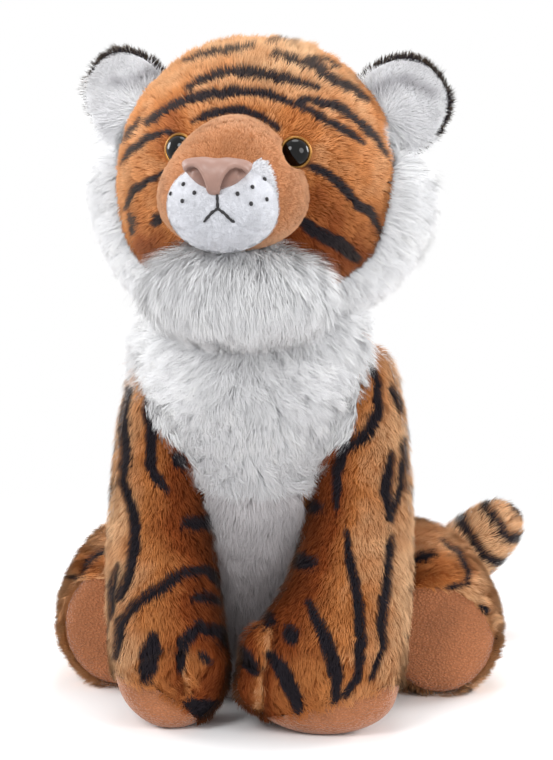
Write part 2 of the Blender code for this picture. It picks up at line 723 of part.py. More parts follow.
def build_ears(parts, tools, looks):
    ears = {}
    for side_name, side in SIDES:
        frame = ear_frame(side)
        pivot = frame.translation
        axis = (frame.to_3x3() @ X_AXIS).normalized()
        back = form(f"{side_name}_ear_back", ear_rings(-SEAM_GAP / 2, EAR_BACK_THICKNESS), parts,
                    looks["orange"], frame)
        lining = form(f"{side_name}_ear_lining", ear_rings(EAR_LINING_THICKNESS, -SEAM_GAP / 2), parts,
                      looks["white"], frame)
        head_clear = tools["head_clear"]
        for piece in (back, lining):
            cut_by(piece, head_clear, turned_copy(head_clear, pivot, axis, EAR_FOLD),
                   turned_copy(head_clear, pivot, axis, -EAR_FOLD))
        ears[side_name] = [back, lining]
    return ears


# Legs

def front_leg_rings(side, inset):
    stations = []
    reach = LEFT_FRONT_REACH if side > 0 else RIGHT_FRONT_REACH
    shares = LEFT_FRONT_LEG_SHARES if side > 0 else RIGHT_FRONT_LEG_SHARES
    for out, forward, up, wide_share, deep_share in shares:
        centre = Vector((side * out * FRONT_LEG_OUT, SHOULDER_Y - forward * (reach + SHOULDER_Y),
                         up * FRONT_LEG_HEIGHT))
        stations.append((centre, wide_share * FRONT_LEG_WIDTH / 2, deep_share * FRONT_LEG_WIDTH / 2))
    return spine_rings(stations, inset)


def build_front_legs(parts, cutters, tools, looks):
    legs = {}
    for side_name, side in SIDES:
        def rings(inset):
            return front_leg_rings(side, inset)

        name = f"{side_name}_front_leg"
        skin = form(f"{name}_skin", rings(0.0), parts, looks["orange"])
        sole = form(f"{side_name}_front_paw_sole", rings(0.0), parts, looks["suede"])
        stuffing = form(f"{name}_stuffing", rings(SKIN + FILL_GAP), parts, looks["stuffing"])
        inner = form(f"{name}_inner", rings(SKIN), cutters)
        cut_by(skin, inner, tools["paw_floor"])
        combine(sole, tools["paw_block"], "INTERSECT")
        cut_by(sole, inner, tools["floor"])
        pivot = Vector((0.0, SHOULDER_SEAM_Y, SHOULDER_SEAM_Z))
        raised = turned_copy(tools["torso_room"], pivot, X_AXIS, FRONT_LEG_RAISE)
        for piece in (skin, stuffing):
            cut_by(piece, tools["neck_relief"], tools["torso_room"], raised)
        legs[side_name] = [skin, sole, stuffing]
    return legs


def hind_reach(side):
    return LEFT_HIND_REACH if side > 0 else RIGHT_HIND_REACH


def hind_leg_rings(side, inset):
    stations = []
    foot_out = TORSO_WIDTH / 2 + (LEFT_HIND_SPLAY if side > 0 else RIGHT_HIND_SPLAY)
    for out, forward, up, wide_share, high_share in HIND_LEG_SHARES:
        centre = Vector((side * out * foot_out, HIND_LEG_LENGTH * (1 - forward) - hind_reach(side),
                         up * HIND_LEG_HEIGHT))
        stations.append((centre, wide_share * HIND_LEG_WIDTH / 2, high_share * HIND_LEG_HEIGHT / 2))
    return spine_rings(stations, inset)


def build_hind_legs(parts, cutters, tools, looks):
    legs = {}
    for side_name, side in SIDES:
        def rings(inset):
            return hind_leg_rings(side, inset)

        name = f"{side_name}_hind_leg"
        skin = form(f"{name}_skin", rings(0.0), parts, looks["orange"])
        sole = form(f"{side_name}_hind_foot_sole", rings(0.0), parts, looks["suede"])
        stuffing = form(f"{name}_stuffing", rings(SKIN + FILL_GAP), parts, looks["stuffing"])
        inner = form(f"{name}_inner", rings(SKIN), cutters)
        seam = SOLE_THICKNESS - hind_reach(side)
        front = (-OVERRUN, -OVERRUN, -OVERRUN)
        sole_block = box(f"{name}_sole_block", front, (OVERRUN, seam, OVERRUN), cutters)
        sole_room = box(f"{name}_sole_room", front, (OVERRUN, seam + SEAM_GAP, OVERRUN), cutters)
        combine(sole, sole_block, "INTERSECT")
        cut_by(skin, sole_room)
        for piece in (skin, sole):
            cut_by(piece, inner, tools["floor"])
        for piece in (skin, sole, stuffing):
            cut_by(piece, tools["hip_wall"])
        legs[side_name] = [skin, sole, stuffing]
    return legs


# Tail

def tail_rings(inset):
    stations = []
    for out, back, up, size_share in TAIL_SHARES:
        radius = size_share * TAIL_RADIUS
        stations.append((Vector((out * TAIL_SPAN, back * TAIL_BACK, up * TAIL_LIFT)), radius, radius))
    return spine_rings(stations, inset, Z_AXIS)


def build_tail(parts, cutters, tools, looks):
    skin = form("tail_skin", tail_rings(0.0), parts, looks["orange"])
    stuffing = form("tail_stuffing", tail_rings(SKIN + FILL_GAP), parts, looks["stuffing"])
    cut_by(skin, form("tail_inner", tail_rings(SKIN), cutters), tools["floor"])
    for piece in (skin, stuffing):
        cut_by(piece, tools["torso_clear"])
    return [skin, stuffing]


# Assembly

def paw_block(name, gap, cutters):
    """Everything below the tilted upper edge of the front paws' soles."""
    block = box(name, (-OVERRUN, -OVERRUN, -OVERRUN), (OVERRUN, OVERRUN, gap), cutters)
    heel = Matrix.Translation(Vector((0.0, -PAW_SOLE_HEEL, PAW_SOLE_RISE)))
    block.matrix_world = heel @ Matrix.Rotation(-PAW_SOLE_TILT, 4, "X")
    return block


def shared_cutters(cutters):
    """Cutters that more than one piece is cut by."""
    slope = math.tan(NECK_RELIEF_SLOPE)
    relief = [(0.0, OVERRUN), (OVERRUN, OVERRUN), (OVERRUN, -OVERRUN * slope), (0.0, 0.0)]
    # Turned by a third of a step, so that its edges miss the middle plane
    relief_frame = Matrix.Translation(NECK_CENTRE) @ Matrix.Rotation(math.tau / TURN_STEPS / 3, 4, "Z")
    low = -OVERRUN
    return {
        "floor": box("floor", (low, low, low), (OVERRUN, OVERRUN, 0.0), cutters),
        "paw_floor": paw_block("paw_floor", SEAM_GAP, cutters),
        "paw_block": paw_block("paw_block", 0.0, cutters),
        "head_floor": box("head_floor", (low, low, low),
                          (OVERRUN, OVERRUN, NECK_CENTRE.z + 2 * SEAM_GAP), cutters),
        "hip_wall": box("hip_wall", (-HIP_PLANE, low, low), (HIP_PLANE, OVERRUN, OVERRUN), cutters),
        "neck_ball": ball("neck_socket", NECK_CENTRE, NECK_RADIUS, cutters),
        "neck_relief": turned("neck_relief", relief, cutters, relief_frame, TURN_STEPS),
        "torso_clear": form("torso_clear", torso_rings(-SEAM_GAP), cutters),
        "torso_room": form("torso_room", torso_rings(-FRONT_LEG_ROOM), cutters),
        "head_clear": form("head_clear", head_rings(-SEAM_GAP), cutters, None, HEAD_FRAME),
    }


def palette():
    return {
        "orange": principled("plush_orange", (0.56, 0.26, 0.08), 0.9),
        "white": principled("plush_white", (0.82, 0.82, 0.84), 0.9),
        "belly": principled("plush_grey", (0.42, 0.40, 0.41), 0.9),
        "muzzle": principled("plush_brown", (0.58, 0.33, 0.16), 0.9),
        "suede": principled("suede", (0.50, 0.24, 0.12), 0.8),
        "stuffing": principled("polyester_filling", (0.90, 0.90, 0.88), 0.95),
        "pouch": principled("pouch_cloth", (0.75, 0.72, 0.66), 0.9),
        "nose": principled("moulded_nose", (0.50, 0.27, 0.20), 0.5),
        "eye": principled("eye", (0.03, 0.02, 0.01), 0.12),
        "washer": principled("washer", (0.85, 0.85, 0.85), 0.4),
    }


def main():
    clear_scene()
    parts = new_collection("plush_tiger")
    cutters = new_collection("cutters")
    tools = shared_cutters(cutters)
    looks = palette()

    build_torso(parts, cutters, tools, looks)
    neck = build_neck(parts, looks)
    head = build_head(parts, cutters, tools, looks)
    head += build_ruffs(parts, cutters, tools, looks)
    ears = build_ears(parts, tools, looks)
    front_legs = build_front_legs(parts, cutters, tools, looks)
    hind_legs = build_hind_legs(parts, cutters, tools, looks)
    tail = build_tail(parts, cutters, tools, looks)

    neck_pivot = pivot_empty("neck_pivot", NECK_CENTRE, parts)
    head_pivot = pivot_empty("head_pivot", NECK_CENTRE, parts)
    hang(neck + [head_pivot], neck_pivot)
    hang(head, head_pivot)
    for side_name, side in SIDES:
        ear_pivot = pivot_empty(f"{side_name}_ear_pivot", ear_frame(side).translation, parts)
        hang([ear_pivot], head_pivot)
        hang(ears[side_name], ear_pivot)
        shoulder = Vector((side * FRONT_LEG_OUT, SHOULDER_SEAM_Y, SHOULDER_SEAM_Z))
        hang(front_legs[side_name], pivot_empty(f"{side_name}_shoulder", shoulder, parts))
        hip = Vector((side * HIP_PLANE, HIP_Y, HIP_Z))
        hang(hind_legs[side_name], pivot_empty(f"{side_name}_hip", hip, parts))
    hang(tail, pivot_empty("tail_root", TAIL_ROOT, parts))

    for cutter in cutters.objects:
        cutter.hide_render = True
        cutter.display_type = "WIRE"


main()
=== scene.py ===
"""Looks of the sitting plush tiger: pile cloths, suede soles, moulded nose, eyes and stitching.

Metres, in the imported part's frame: +Z up, the tiger faces -Y, its own left side is at +X.
Each soft piece repeats the form of the solid it stands for with a finer surface, and
carries a pile of short flat fibres. The stripes on the front are drawn through the
photograph's camera; those on the sides and back are bands of the same width.
"""

import math

import bmesh
import bpy
import numpy as np
from mathutils import Matrix, Vector
from mathutils.bvhtree import BVHTree


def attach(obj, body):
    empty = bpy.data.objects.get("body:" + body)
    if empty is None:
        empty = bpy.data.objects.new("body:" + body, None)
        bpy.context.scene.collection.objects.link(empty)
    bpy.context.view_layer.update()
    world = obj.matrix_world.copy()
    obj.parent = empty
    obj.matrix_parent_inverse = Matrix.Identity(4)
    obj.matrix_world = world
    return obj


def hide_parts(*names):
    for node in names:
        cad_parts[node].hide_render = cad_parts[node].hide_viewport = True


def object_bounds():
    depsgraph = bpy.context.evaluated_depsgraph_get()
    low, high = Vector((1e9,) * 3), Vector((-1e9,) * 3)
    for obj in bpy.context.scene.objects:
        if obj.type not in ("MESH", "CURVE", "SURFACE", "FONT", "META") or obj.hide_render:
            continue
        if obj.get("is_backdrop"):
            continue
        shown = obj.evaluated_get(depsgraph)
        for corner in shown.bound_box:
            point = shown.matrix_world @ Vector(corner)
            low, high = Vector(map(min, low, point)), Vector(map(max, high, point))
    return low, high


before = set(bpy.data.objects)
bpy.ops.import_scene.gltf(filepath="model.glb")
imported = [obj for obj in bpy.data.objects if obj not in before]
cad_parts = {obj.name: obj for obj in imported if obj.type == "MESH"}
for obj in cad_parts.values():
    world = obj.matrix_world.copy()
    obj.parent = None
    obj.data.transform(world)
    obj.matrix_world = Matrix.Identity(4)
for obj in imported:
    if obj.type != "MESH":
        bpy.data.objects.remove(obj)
cad_low, cad_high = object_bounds()

# The photograph's camera: it looks along +Y and a little down
IMAGE_WIDTH = 553
IMAGE_HEIGHT = 760
CAMERA_AIM = Vector((0.011, 0.0, 0.154))
CAMERA_DISTANCE = 1.9
CAMERA_ELEVATION = math.radians(12)
FOCAL_PIXELS = 3800
SENSOR = 36.0
CAMERA_BACK = Vector((0.0, -math.cos(CAMERA_ELEVATION), math.sin(CAMERA_ELEVATION)))
CAMERA_UP = Vector((0.0, math.sin(CAMERA_ELEVATION), math.cos(CAMERA_ELEVATION)))
CAMERA_PLACE = CAMERA_AIM + CAMERA_BACK * CAMERA_DISTANCE

# Cloth: how far the backing lies inside the solid's surface
BACKING = 0.0015
FINE = 4
MEDIUM = 3

# Forms, as in the part's source
CAGE_SIDES = 8
TORSO_SIZE = (0.120, 0.124, 0.205)
TORSO_BASE = Vector((0.0, 0.0, -0.0005))
TORSO_SHARES = (
    (0.00, 0.42, 0.42, 0.080), (0.00, 0.78, 0.82, 0.080), (0.07, 0.97, 0.96, 0.095),
    (0.26, 1.02, 1.01, 0.092), (0.48, 1.00, 0.97, 0.045), (0.70, 1.00, 0.91, -0.025),
    (0.88, 0.96, 0.85, -0.050), (1.00, 0.74, 0.66, -0.050),
)
BIB_FOOT = 0.112
NECK_CENTRE = Vector((0.0, -0.002, 0.196))
NECK_PROFILE = (
    (0.0, -0.016), (0.030, -0.016), (0.040, -0.008), (0.043, 0.002), (0.040, 0.012), (0.030, 0.018),
    (0.0, 0.018),
)
HEAD_SIZE = (0.134, 0.122, 0.134)
HEAD_CENTRE = Vector((0.0015, -0.008, 0.257))
HEAD_YAW = math.radians(-10.5)
HEAD_FRAME = Matrix.Translation(HEAD_CENTRE) @ Matrix.Rotation(HEAD_YAW, 4, "Z")
HEAD_BASE = Vector((0.0, 0.0, -HEAD_SIZE[2] / 2))
HEAD_FUR_FOOT = 0.193
HEAD_SHARES = (
    (0.005, 0.28, 0.28, 0.03), (0.09, 0.74, 0.70, 0.02), (0.27, 0.99, 0.95, 0.00),
    (0.49, 1.03, 1.03, 0.00), (0.71, 0.97, 0.97, 0.01), (0.89, 0.72, 0.72, 0.02),
    (0.995, 0.30, 0.32, 0.02),
)
MUZZLE_SIZE = (0.0695, 0.064)
MUZZLE_LIFT = 0.0075
MUZZLE_ENDS = (0.026, 0.096)
MUZZLE_TAPER_SHARE = 0.34
# Half the width and height of the place that the head's fur leaves to the muzzle
MUZZLE_CLEARING = (0.030, 0.027)
MUZZLE_SHARES = ((0.0, 0.86), (0.30, 0.96), (0.60, 1.02), (0.84, 0.84), (0.98, 0.42))
SNOUT_SIZE = (0.0535, 0.044)
SNOUT_LIFT = 0.0003
SNOUT_ENDS = (0.062, 0.109)
SNOUT_SHARES = ((0.0, 0.92), (0.35, 1.02), (0.66, 0.98), (0.87, 0.76), (0.98, 0.38))
NOSE_SIZE = (0.0350, 0.017, 0.0195)
NOSE_PLACE = Vector((0.0, -0.102, 0.0170))
NOSE_TILT = math.radians(-24)
NOSE_DIP = 0.0009
NOSTRIL_DEPTH = 0.0024
WING_SWELLING = 0.0005
NOSE_SHARES = (
    (0.00, 0.16, 0.36, 0.02), (0.22, 0.38, 0.72, 0.02), (0.50, 0.78, 0.98, 0.04),
    (0.78, 1.02, 0.98, 0.02), (0.97, 0.86, 0.66, -0.08),
)
EYE_RADIUS = 0.0077
EYE_DOME = 0.0046
EYE_RIM = 0.0012
EYE_OUT = 0.0280
EYE_LIFT = 0.0212
PUPIL_SHARE = 0.88
EYE_SINK = 0.0018
EYE_TURN = math.radians(20)
# How many eye radii the head's fur stays away
EYE_CLEARING = 1.12
EYE_RISE = math.radians(12)
EAR_SIZE = (0.045, 0.038)
EAR_CUP = 0.007
EAR_BACK_THICKNESS = 0.0050
EAR_LINING_THICKNESS = 0.0028
EAR_PLACE_SHARES = (0.860, 0.230, 0.396)
EAR_LEAN = math.radians(50)
EAR_FACE_TURN = math.radians(14)
EAR_SHARES = (
    (-0.20, 0.78, 1.00), (0.12, 0.98, 1.00), (0.52, 1.04, 0.90), (0.88, 0.72, 0.75), (1.00, 0.32, 0.50),
)
EAR_ROW_SHARES = (-1.0, -0.4, 0.4, 1.0)
RUFF_INSET = 0.003
RUFF_SPREAD = 0.0185
RUFF_THICKNESS = 0.0165
CHEEK_RUFF_SHARES = (
    (0.50, 0.42, -0.76, 0.78, 0.86), (0.73, 0.16, -0.69, 1.00, 0.98), (0.94, -0.02, -0.38, 1.08, 1.00),
    (1.04, -0.10, -0.08, 0.98, 0.92), (1.06, -0.14, 0.18, 0.56, 0.66),
)
CHIN_RUFF_SPREAD = 0.0240
CHIN_RUFF_THICKNESS = 0.0230
CHIN_RUFF_SHARES = (
    (-0.62, 0.66, -0.73, 0.45, 0.44), (-0.42, 0.86, -0.69, 0.86, 0.82), (0.00, 1.02, -0.65, 1.04, 1.03),
    (0.42, 0.86, -0.69, 0.86, 0.82), (0.62, 0.66, -0.73, 0.45, 0.44),
)
FRONT_LEG_OUT = 0.050
FRONT_LEG_WIDTH = 0.062
FRONT_LEG_HEIGHT = 0.165
SHOULDER_Y = -0.012
PAW_SOLE_RISE = 0.0035
PAW_SOLE_HEEL = 0.060
PAW_SOLE_TILT = math.radians(17)
FRONT_REACH = {"left": 0.101, "right": 0.091}
FRONT_LEG_SHARES = {
    "left": (
        (0.98, 0.00, 1.060, 0.46, 0.36), (1.00, 0.02, 0.970, 0.70, 0.70), (1.04, 0.16, 0.760, 0.78, 0.90),
        (1.04, 0.40, 0.530, 0.84, 0.96), (0.90, 0.66, 0.320, 1.00, 1.00), (0.62, 0.88, 0.147, 1.34, 1.00),
        (0.55, 1.02, 0.131, 1.20, 0.84), (0.53, 1.10, 0.131, 0.66, 0.44),
    ),
    "right": (
        (0.84, 0.00, 1.045, 0.42, 0.36), (0.86, 0.02, 0.960, 0.64, 0.70), (0.92, 0.16, 0.760, 0.74, 0.90),
        (0.92, 0.42, 0.530, 0.82, 0.96), (0.88, 0.70, 0.320, 0.90, 1.00), (0.79, 0.90, 0.144, 0.92, 1.00),
        (0.76, 1.03, 0.129, 0.82, 0.84), (0.75, 1.11, 0.129, 0.42, 0.44),
    ),
}
HIND_LEG_SIZE = (0.062, 0.076)
SOLE_THICKNESS = 0.0060
SUEDE_RISE = 0.0010
HIND_FOOT_OUT = {"left": 0.093, "right": 0.068}
HIND_REACH = {"left": 0.040, "right": 0.026}
HIND_LEG_LENGTH = 0.098
HIND_LEG_SHARES = (
    (0.66, 0.00, 0.36, 0.42, 0.36), (0.72, 0.10, 0.44, 0.84, 0.84), (0.84, 0.34, 0.50, 1.04, 1.03),
    (0.94, 0.62, 0.48, 1.04, 1.00), (1.00, 0.84, 0.42, 0.98, 0.88), (1.00, 0.975, 0.40, 0.92, 0.86),
    (1.00, 1.00, 0.40, 0.60, 0.56),
)
TAIL_REACH = Vector((0.132, 0.090, 0.063))
TAIL_RADIUS = 0.0160
TAIL_SHARES = (
    (0.09, 0.60, 0.54, 0.70), (0.18, 0.80, 0.43, 0.95), (0.38, 0.99, 0.21, 1.02), (0.62, 1.01, 0.26, 1.03),
    (0.84, 0.97, 0.67, 1.05), (0.98, 0.94, 0.95, 0.92), (1.03, 0.935, 1.04, 0.42),
)
# Where the tail's black rings lie along it, and how wide they are
TAIL_RINGS = (
    (0.28, 0.0045), (0.43, 0.0065), (0.53, 0.0040), (0.64, 0.0050), (0.74, 0.0045), (0.84, 0.0050),
    (0.93, 0.0045), (1.0, 0.0060),
)
# A nostril's upper edge, from under the wing's end to the lip: out from the middle, height
WING_LINE = ((0.0150, 0.0012), (0.0125, 0.0026), (0.0098, 0.0026), (0.0076, 0.0012), (0.0058, -0.0012),
             (0.0044, -0.0038), (0.0034, -0.0066))
# Bands cross the thigh at a slant and fade where they would close to a ring
HIND_BAND_WAY = np.array((0.0, 0.755, 0.655))
SIDES = (("left", 1.0), ("right", -1.0))

X_AXIS = Vector((1.0, 0.0, 0.0))
Y_AXIS = Vector((0.0, 1.0, 0.0))
Z_AXIS = Vector((0.0, 0.0, 1.0))


def colour(red, green, blue):
    """A colour as a screen shows it, turned into the renderer's linear values."""
    return np.array([(value / 255) ** 2.2 for value in (red, green, blue)])


# Tip and root colours of the piles: each root colour is darker than its tip colour with painted shade of the
# pile's depth
TAN_TIP = colour(236, 192, 148)
TAN_ROOT_SHADED = colour(186, 120, 72)
ORANGE_TIP = colour(214, 140, 82)
ORANGE_ROOT_SHADED = colour(148, 76, 34)
RUST_TIP = colour(156, 80, 38)
RUST_ROOT_SHADED = colour(90, 40, 16)
STRIPE = colour(40, 36, 42)
WHITE = colour(252, 252, 253)
WHITE_ROOT_SHADED = colour(240, 241, 245)
BELLY = colour(204, 197, 198)
BELLY_ROOT_SHADED = colour(128, 120, 122)
BELLY_TOP = colour(238, 236, 238)
SNOUT = colour(232, 233, 238)
SNOUT_ROOT_SHADED = colour(212, 214, 222)
LINING = colour(248, 248, 251)
# Painted shade of the folds in the ear linings
LINING_FOLD_SHADE = colour(142, 139, 146)
MUZZLE = colour(206, 142, 98)
MUZZLE_ROOT_SHADED = colour(162, 100, 64)
SUEDE = colour(172, 110, 74)
NOSE = colour(158, 124, 112)
# Painted shade in the nostrils
NOSTRIL_SHADE = colour(104, 72, 62)

# Lines drawn on the photograph: width, then pixels along the line
HEAD_LINES = (
    (9, ((187.7, 83), (206, 73), (228, 66), (256, 68), (284.5, 73), (319.6, 84.5))),
    (8, ((144, 121), (161, 107), (183.5, 97), (200, 93), (234, 87), (268, 90), (298.5, 101))),
    (7, ((296, 100), (312.6, 96), (340.6, 104), (363, 121), (380, 138), (390, 155))),
    (7, ((298.5, 101), (312.6, 108), (335, 121), (352, 132), (366, 141))),
    (7, ((191, 120), (203, 113), (221, 108.5), (243, 107.5), (264, 113.5), (279, 127))),
    (8, ((277.5, 47.5), (301, 56.5), (321, 63.5), (336, 77.5), (357.5, 87), (371.5, 98.6))),
    (5, ((269, 36), (284.5, 34), (301, 37))),
    (6, ((181, 58), (200, 49.5), (217, 46.7), (239.6, 42.4), (256, 39))),
    (5, ((310, 54), (329, 56.5), (343, 65))),
    (6, ((117.5, 166), (127, 149), (144, 138), (164, 129), (174, 136))),
    (5, ((120, 143.5), (127, 129), (137, 118))),
    (6, ((123, 211), (130, 194), (144, 181), (161, 173))),
    (6, ((127, 214), (130, 236))),
    (9, ((152, 225), (158, 218))),
    (8, ((308, 163), (332, 174), (349, 191), (363, 208), (374, 213.6), (383, 233))),
    (11, ((298, 218), (318, 233), (338, 244.5), (360, 261))),
)
BODY_LINES = (
    (6, ((371.5, 345), (378, 386), (380, 414), (369, 436), (343, 450), (335, 473), (335, 509))),
    (6, ((343, 450), (325, 463), (307, 473))),
    (5, ((380, 324), (385.5, 349))),
    (6, ((122, 500), (118, 470), (122, 430), (126, 391.5), (134, 374))),
)
LEFT_ARM_LINES = (
    (7, ((371.5, 363.5), (380, 386), (380, 414), (369, 436), (343, 450), (335, 473), (335, 509))),
    (5, ((394, 389), (404, 414))),
    (7, ((394, 456), (387, 493), (394, 523))),
    (5, ((407, 442), (404, 487), (394, 523))),
    (6, ((394, 540), (391, 560))),
    (7, ((346, 536), (351, 568), (359, 604), (362, 644), (356, 683), (344, 699))),
    (8, ((307, 605), (324.6, 640), (334.5, 673), (336, 702.5))),
    (11, ((288, 631), (292, 643))),
    (9, ((269, 658), (279, 670), (289, 689), (301, 711))),
    (8, ((237, 652), (247, 664), (256, 675))),
    (7, ((262, 616), (270, 625))),
    (6, ((393, 542), (390, 578), (383.5, 621), (385, 650), (370, 683))),
    (9, ((289, 562), (312, 565))),
    (7, ((300, 512), (318, 508))),
)
RIGHT_ARM_LINES = (
    (7, ((126, 391.5), (120, 420), (123, 453), (120, 484), (129, 507), (134, 532), (127, 557))),
    (7, ((144, 408), (150, 436), (150, 470), (167, 493))),
    (9, ((187, 526), (220, 525))),
    (10, ((178, 460), (185, 468))),
    (7, ((120, 480), (131.6, 516), (133, 545), (127, 578), (117, 601))),
    (5, ((115, 568), (110, 588), (109, 621))),
    (7, ((113.6, 660), (118.5, 627), (138, 604), (161, 591), (184, 575), (210, 573), (223, 588))),
    (12, ((153, 642), (146, 682))),
    (8, ((181, 673), (184, 647), (200, 630.5), (223, 634), (231, 647))),
    (5, ((202, 661), (208, 665))),
    (11, ((186, 706), (205, 712), (232, 714))),
    (6, ((195, 600), (210, 600), (222, 606))),
    (8, ((221, 528), (223, 540))),
)
HIND_LINES = (
    (8, ((405, 562), (420, 556), (437, 551))),
    (6, ((446, 538), (464, 551), (473, 571), (471, 582), (450, 589))),
    (8, ((486, 606), (491, 613))),
    (8, ((495, 636), (497, 648))),
    (6, ((78, 575), (82, 563), (95, 552), (107, 548))),
    (6, ((62, 578), (72, 578))),
)
BIB_EDGE = ((120, 250), (140, 320), (143, 380), (141, 402), (150, 430), (172, 446), (192, 466), (214, 487),
            (226, 500), (292, 500), (302, 480), (322, 464), (346, 446), (357, 424), (360, 380), (353, 330),
            (350, 300), (372, 250))
ARM_LINES = {"left": LEFT_ARM_LINES, "right": RIGHT_ARM_LINES}
# The upper corner of the white panel beside the nose
SNOUT_CORNER = ((246, 170), (250, 164), (262, 157), (270, 160),
                (277, 175), (281, 197), (270, 208), (250, 188))
# Darker fur beside the brow, below the eye and on the lower cheeks, drawn on the photograph
RUST_LINES = (
    (30, ((292, 118), (303, 136))),
    (26, ((176, 120), (170, 146))),
    (40, ((296, 236), (330, 262), (352, 262))),
    (30, ((150, 246), (170, 250))),
    (26, ((312, 190), (330, 214))),
)
# Rust fur of the hind feet, drawn on the photograph
HIND_RUST_LINES = ((22, ((402, 576), (430, 572), (458, 572))), (16, ((88, 568), (104, 562))))
# Faint folds of the lower lip
LIP_FOLD_DEPTH = 0.0009
LIP_FOLDS = (((232, 221), (246, 229), (262, 232), (274, 232)), ((206, 221), (194, 228), (180, 230)))
# Painted shade of the folds in the ear linings, drawn on the photograph
EAR_FOLD_SHADES = {
    "left": ((376, 95), (390, 86), (403, 80), (418, 87), (430, 93)),
    "right": ((116, 82), (130, 88), (144, 80), (156, 74)),
}
# Where the suede of the front paws starts, drawn on the photograph from left to right
PAW_EDGES = {
    "left": ((238, 730), (262, 722), (266, 716), (300, 713), (325, 705), (341, 700), (354, 697), (386, 686),
             (415, 680)),
    "right": ((100, 650), (122, 676), (140, 684), (153, 685), (169, 697), (182, 705), (198, 720), (215, 745)),
}
HIND_EDGES = {
    "left": ((391, 587), (440, 588), (458, 592), (471, 600), (484, 616), (492, 636), (500, 665)),
    "right": ((56, 592), (69, 583), (107, 578)),
}
# Toe lobes on the inner side of the left paw: pixel, reach, swelling; and the creases round them
TOES = {
    "left": (((256, 641), 0.013, 0.0045), ((248, 692), 0.014, 0.0040)),
    "right": (((205, 662), 0.018, 0.0025), ((162, 668), 0.016, 0.0018)),
}
CREASE_DEPTH = 0.0035
CREASES = {
    "left": (((274, 622), (273, 652), (264, 670), (262, 712)), ((236, 652), (247, 664), (263, 670))),
    "right": (((181, 640), (180, 665), (184, 690)),),
}
MOUTH_LINES = {
    "mouth_seam": ((217.0, 192.0), (217.5, 200.0), (217.8, 209.5)),
    "mouth_left": ((217.8, 208.5), (224.0, 213.0), (229.5, 218.5), (234.6, 222.3)),
    "mouth_right": ((217.8, 208.5), (212.0, 212.5), (207.5, 217.5), (203.7, 221.7)),
}
THREAD_RADIUS = 0.00085
WHISKER_DOT_SIZE = (0.0010, 0.0011, 0.0008)
WHISKER_DOT_LIFT = 0.0006
WHISKER_DOTS = ((177, 175.5), (184, 184.7), (194.8, 193), (171.7, 194), (183, 201),
                (237.4, 194), (252, 187.5), (264, 179.7), (250.7, 203.8), (266, 199.5))

# The pale floor fades into the white world between these distances
FLOOR_FADE = (0.16, 0.42)
# How bright the world is as light, next to 1 where it is seen
WORLD_LIGHT = 0.75
# Lamps: name, place, size, power
LAMPS = (
    ("key", (-0.9, -1.5, 1.5), 0.9, 20.0), ("fill", (1.3, -1.2, 0.9), 0.9, 10.0),
    ("top", (0.1, 0.3, 1.8), 0.9, 9.0), ("left_rim", (-1.4, 0.5, 0.6), 0.7, 14.0),
    ("right_rim", (1.4, 0.5, 0.6), 0.7, 14.0),
)

# Fur and cloth lie at least this far above the floor
FLOOR_GAP = 0.0004


# Noise and tufts

def lattice(cells, seed):
    """A repeatable value from -1 to 1 for each whole-numbered cell."""
    cells = cells.astype(np.int64)
    mixed = (cells[..., 0] * 73856093) ^ (cells[..., 1] * 19349663) ^ (cells[..., 2] * 83492791)
    mixed = (mixed + seed * 2654435761) & 0xFFFFFFFF
    mixed = ((mixed ^ (mixed >> 15)) * 2246822519) & 0xFFFFFFFF
    mixed = ((mixed ^ (mixed >> 13)) * 3266489917) & 0xFFFFFFFF
    return ((mixed ^ (mixed >> 16)) & 0xFFFFFF) / 0x7FFFFF - 1.0


def noise(points, size, seed):
    """Smooth noise from -1 to 1 with features of the given size."""
    cell = np.floor(points / size)
    share = points / size - cell
    share = share * share * (3 - 2 * share)
    total = np.zeros(len(points))
    for corner in np.ndindex(2, 2, 2):
        weight = np.where(corner, share, 1 - share).prod(axis=1)
        total += weight * lattice(cell + np.array(corner), seed)
    return total


def in_threes(function, *given):
    """Vectors whose parts come from a function with three seeds in a row, the first given last."""
    return np.stack([function(*given[:-1], given[-1] + axis) for axis in range(3)], axis=1)


def tufts(points, size, seed):
    """For each point, the centre of the nearest tuft and three random values of that tuft."""
    home = np.floor(points / size)
    best = np.full(len(points), np.inf)
    centres = np.zeros_like(points)
    chosen = np.zeros_like(points)
    for step in np.ndindex(3, 3, 3):
        cell = home + np.array(step) - 1
        centre = (cell + 0.5 + 0.45 * in_threes(lattice, cell, seed)) * size
        distance = ((points - centre) ** 2).sum(axis=1)
        closer = distance < best
        best[closer] = distance[closer]
        centres[closer] = centre[closer]
        chosen[closer] = cell[closer]
    return centres, in_threes(lattice, chosen, seed + 11)


def unit(vectors):
    return vectors / np.maximum(np.linalg.norm(vectors, axis=1, keepdims=True), 1e-9)


def smoothstep(low, high, values):
    share = np.clip((values - low) / (high - low), 0.0, 1.0)
    return share * share * (3 - 2 * share)


def mix(first, second, share):
    return first + (second - first) * np.asarray(share)[:, None]


def columns(count, *values):
    """Vectors from their x, y and z, each an array or one number for all."""
    return np.stack([np.broadcast_to(value, count) for value in values], axis=1)


def into(points, place):
    """Points as seen in a place's own frame."""
    inverse = np.array(place.inverted())
    return points @ inverse[:3, :3].T + inverse[:3, 3]


# Forms

def ring(centre, side, up, half_side, half_up, taper_share=0.0):
    """An oval ring of a cage; a taper share narrows its upper half and widens its lower half."""
    # Subdivision pulls the corners of a ring in by this share
    rounding = (2 + math.cos(math.tau / CAGE_SIDES)) / 3
    points = []
    for index in range(CAGE_SIDES):
        angle = math.tau * (index + 0.5) / CAGE_SIDES
        narrowing = 1 - taper_share * math.sin(angle)
        points.append(centre + side * (half_side * narrowing * math.cos(angle) / rounding)
                      + up * (half_up * math.sin(angle) / rounding))
    return points


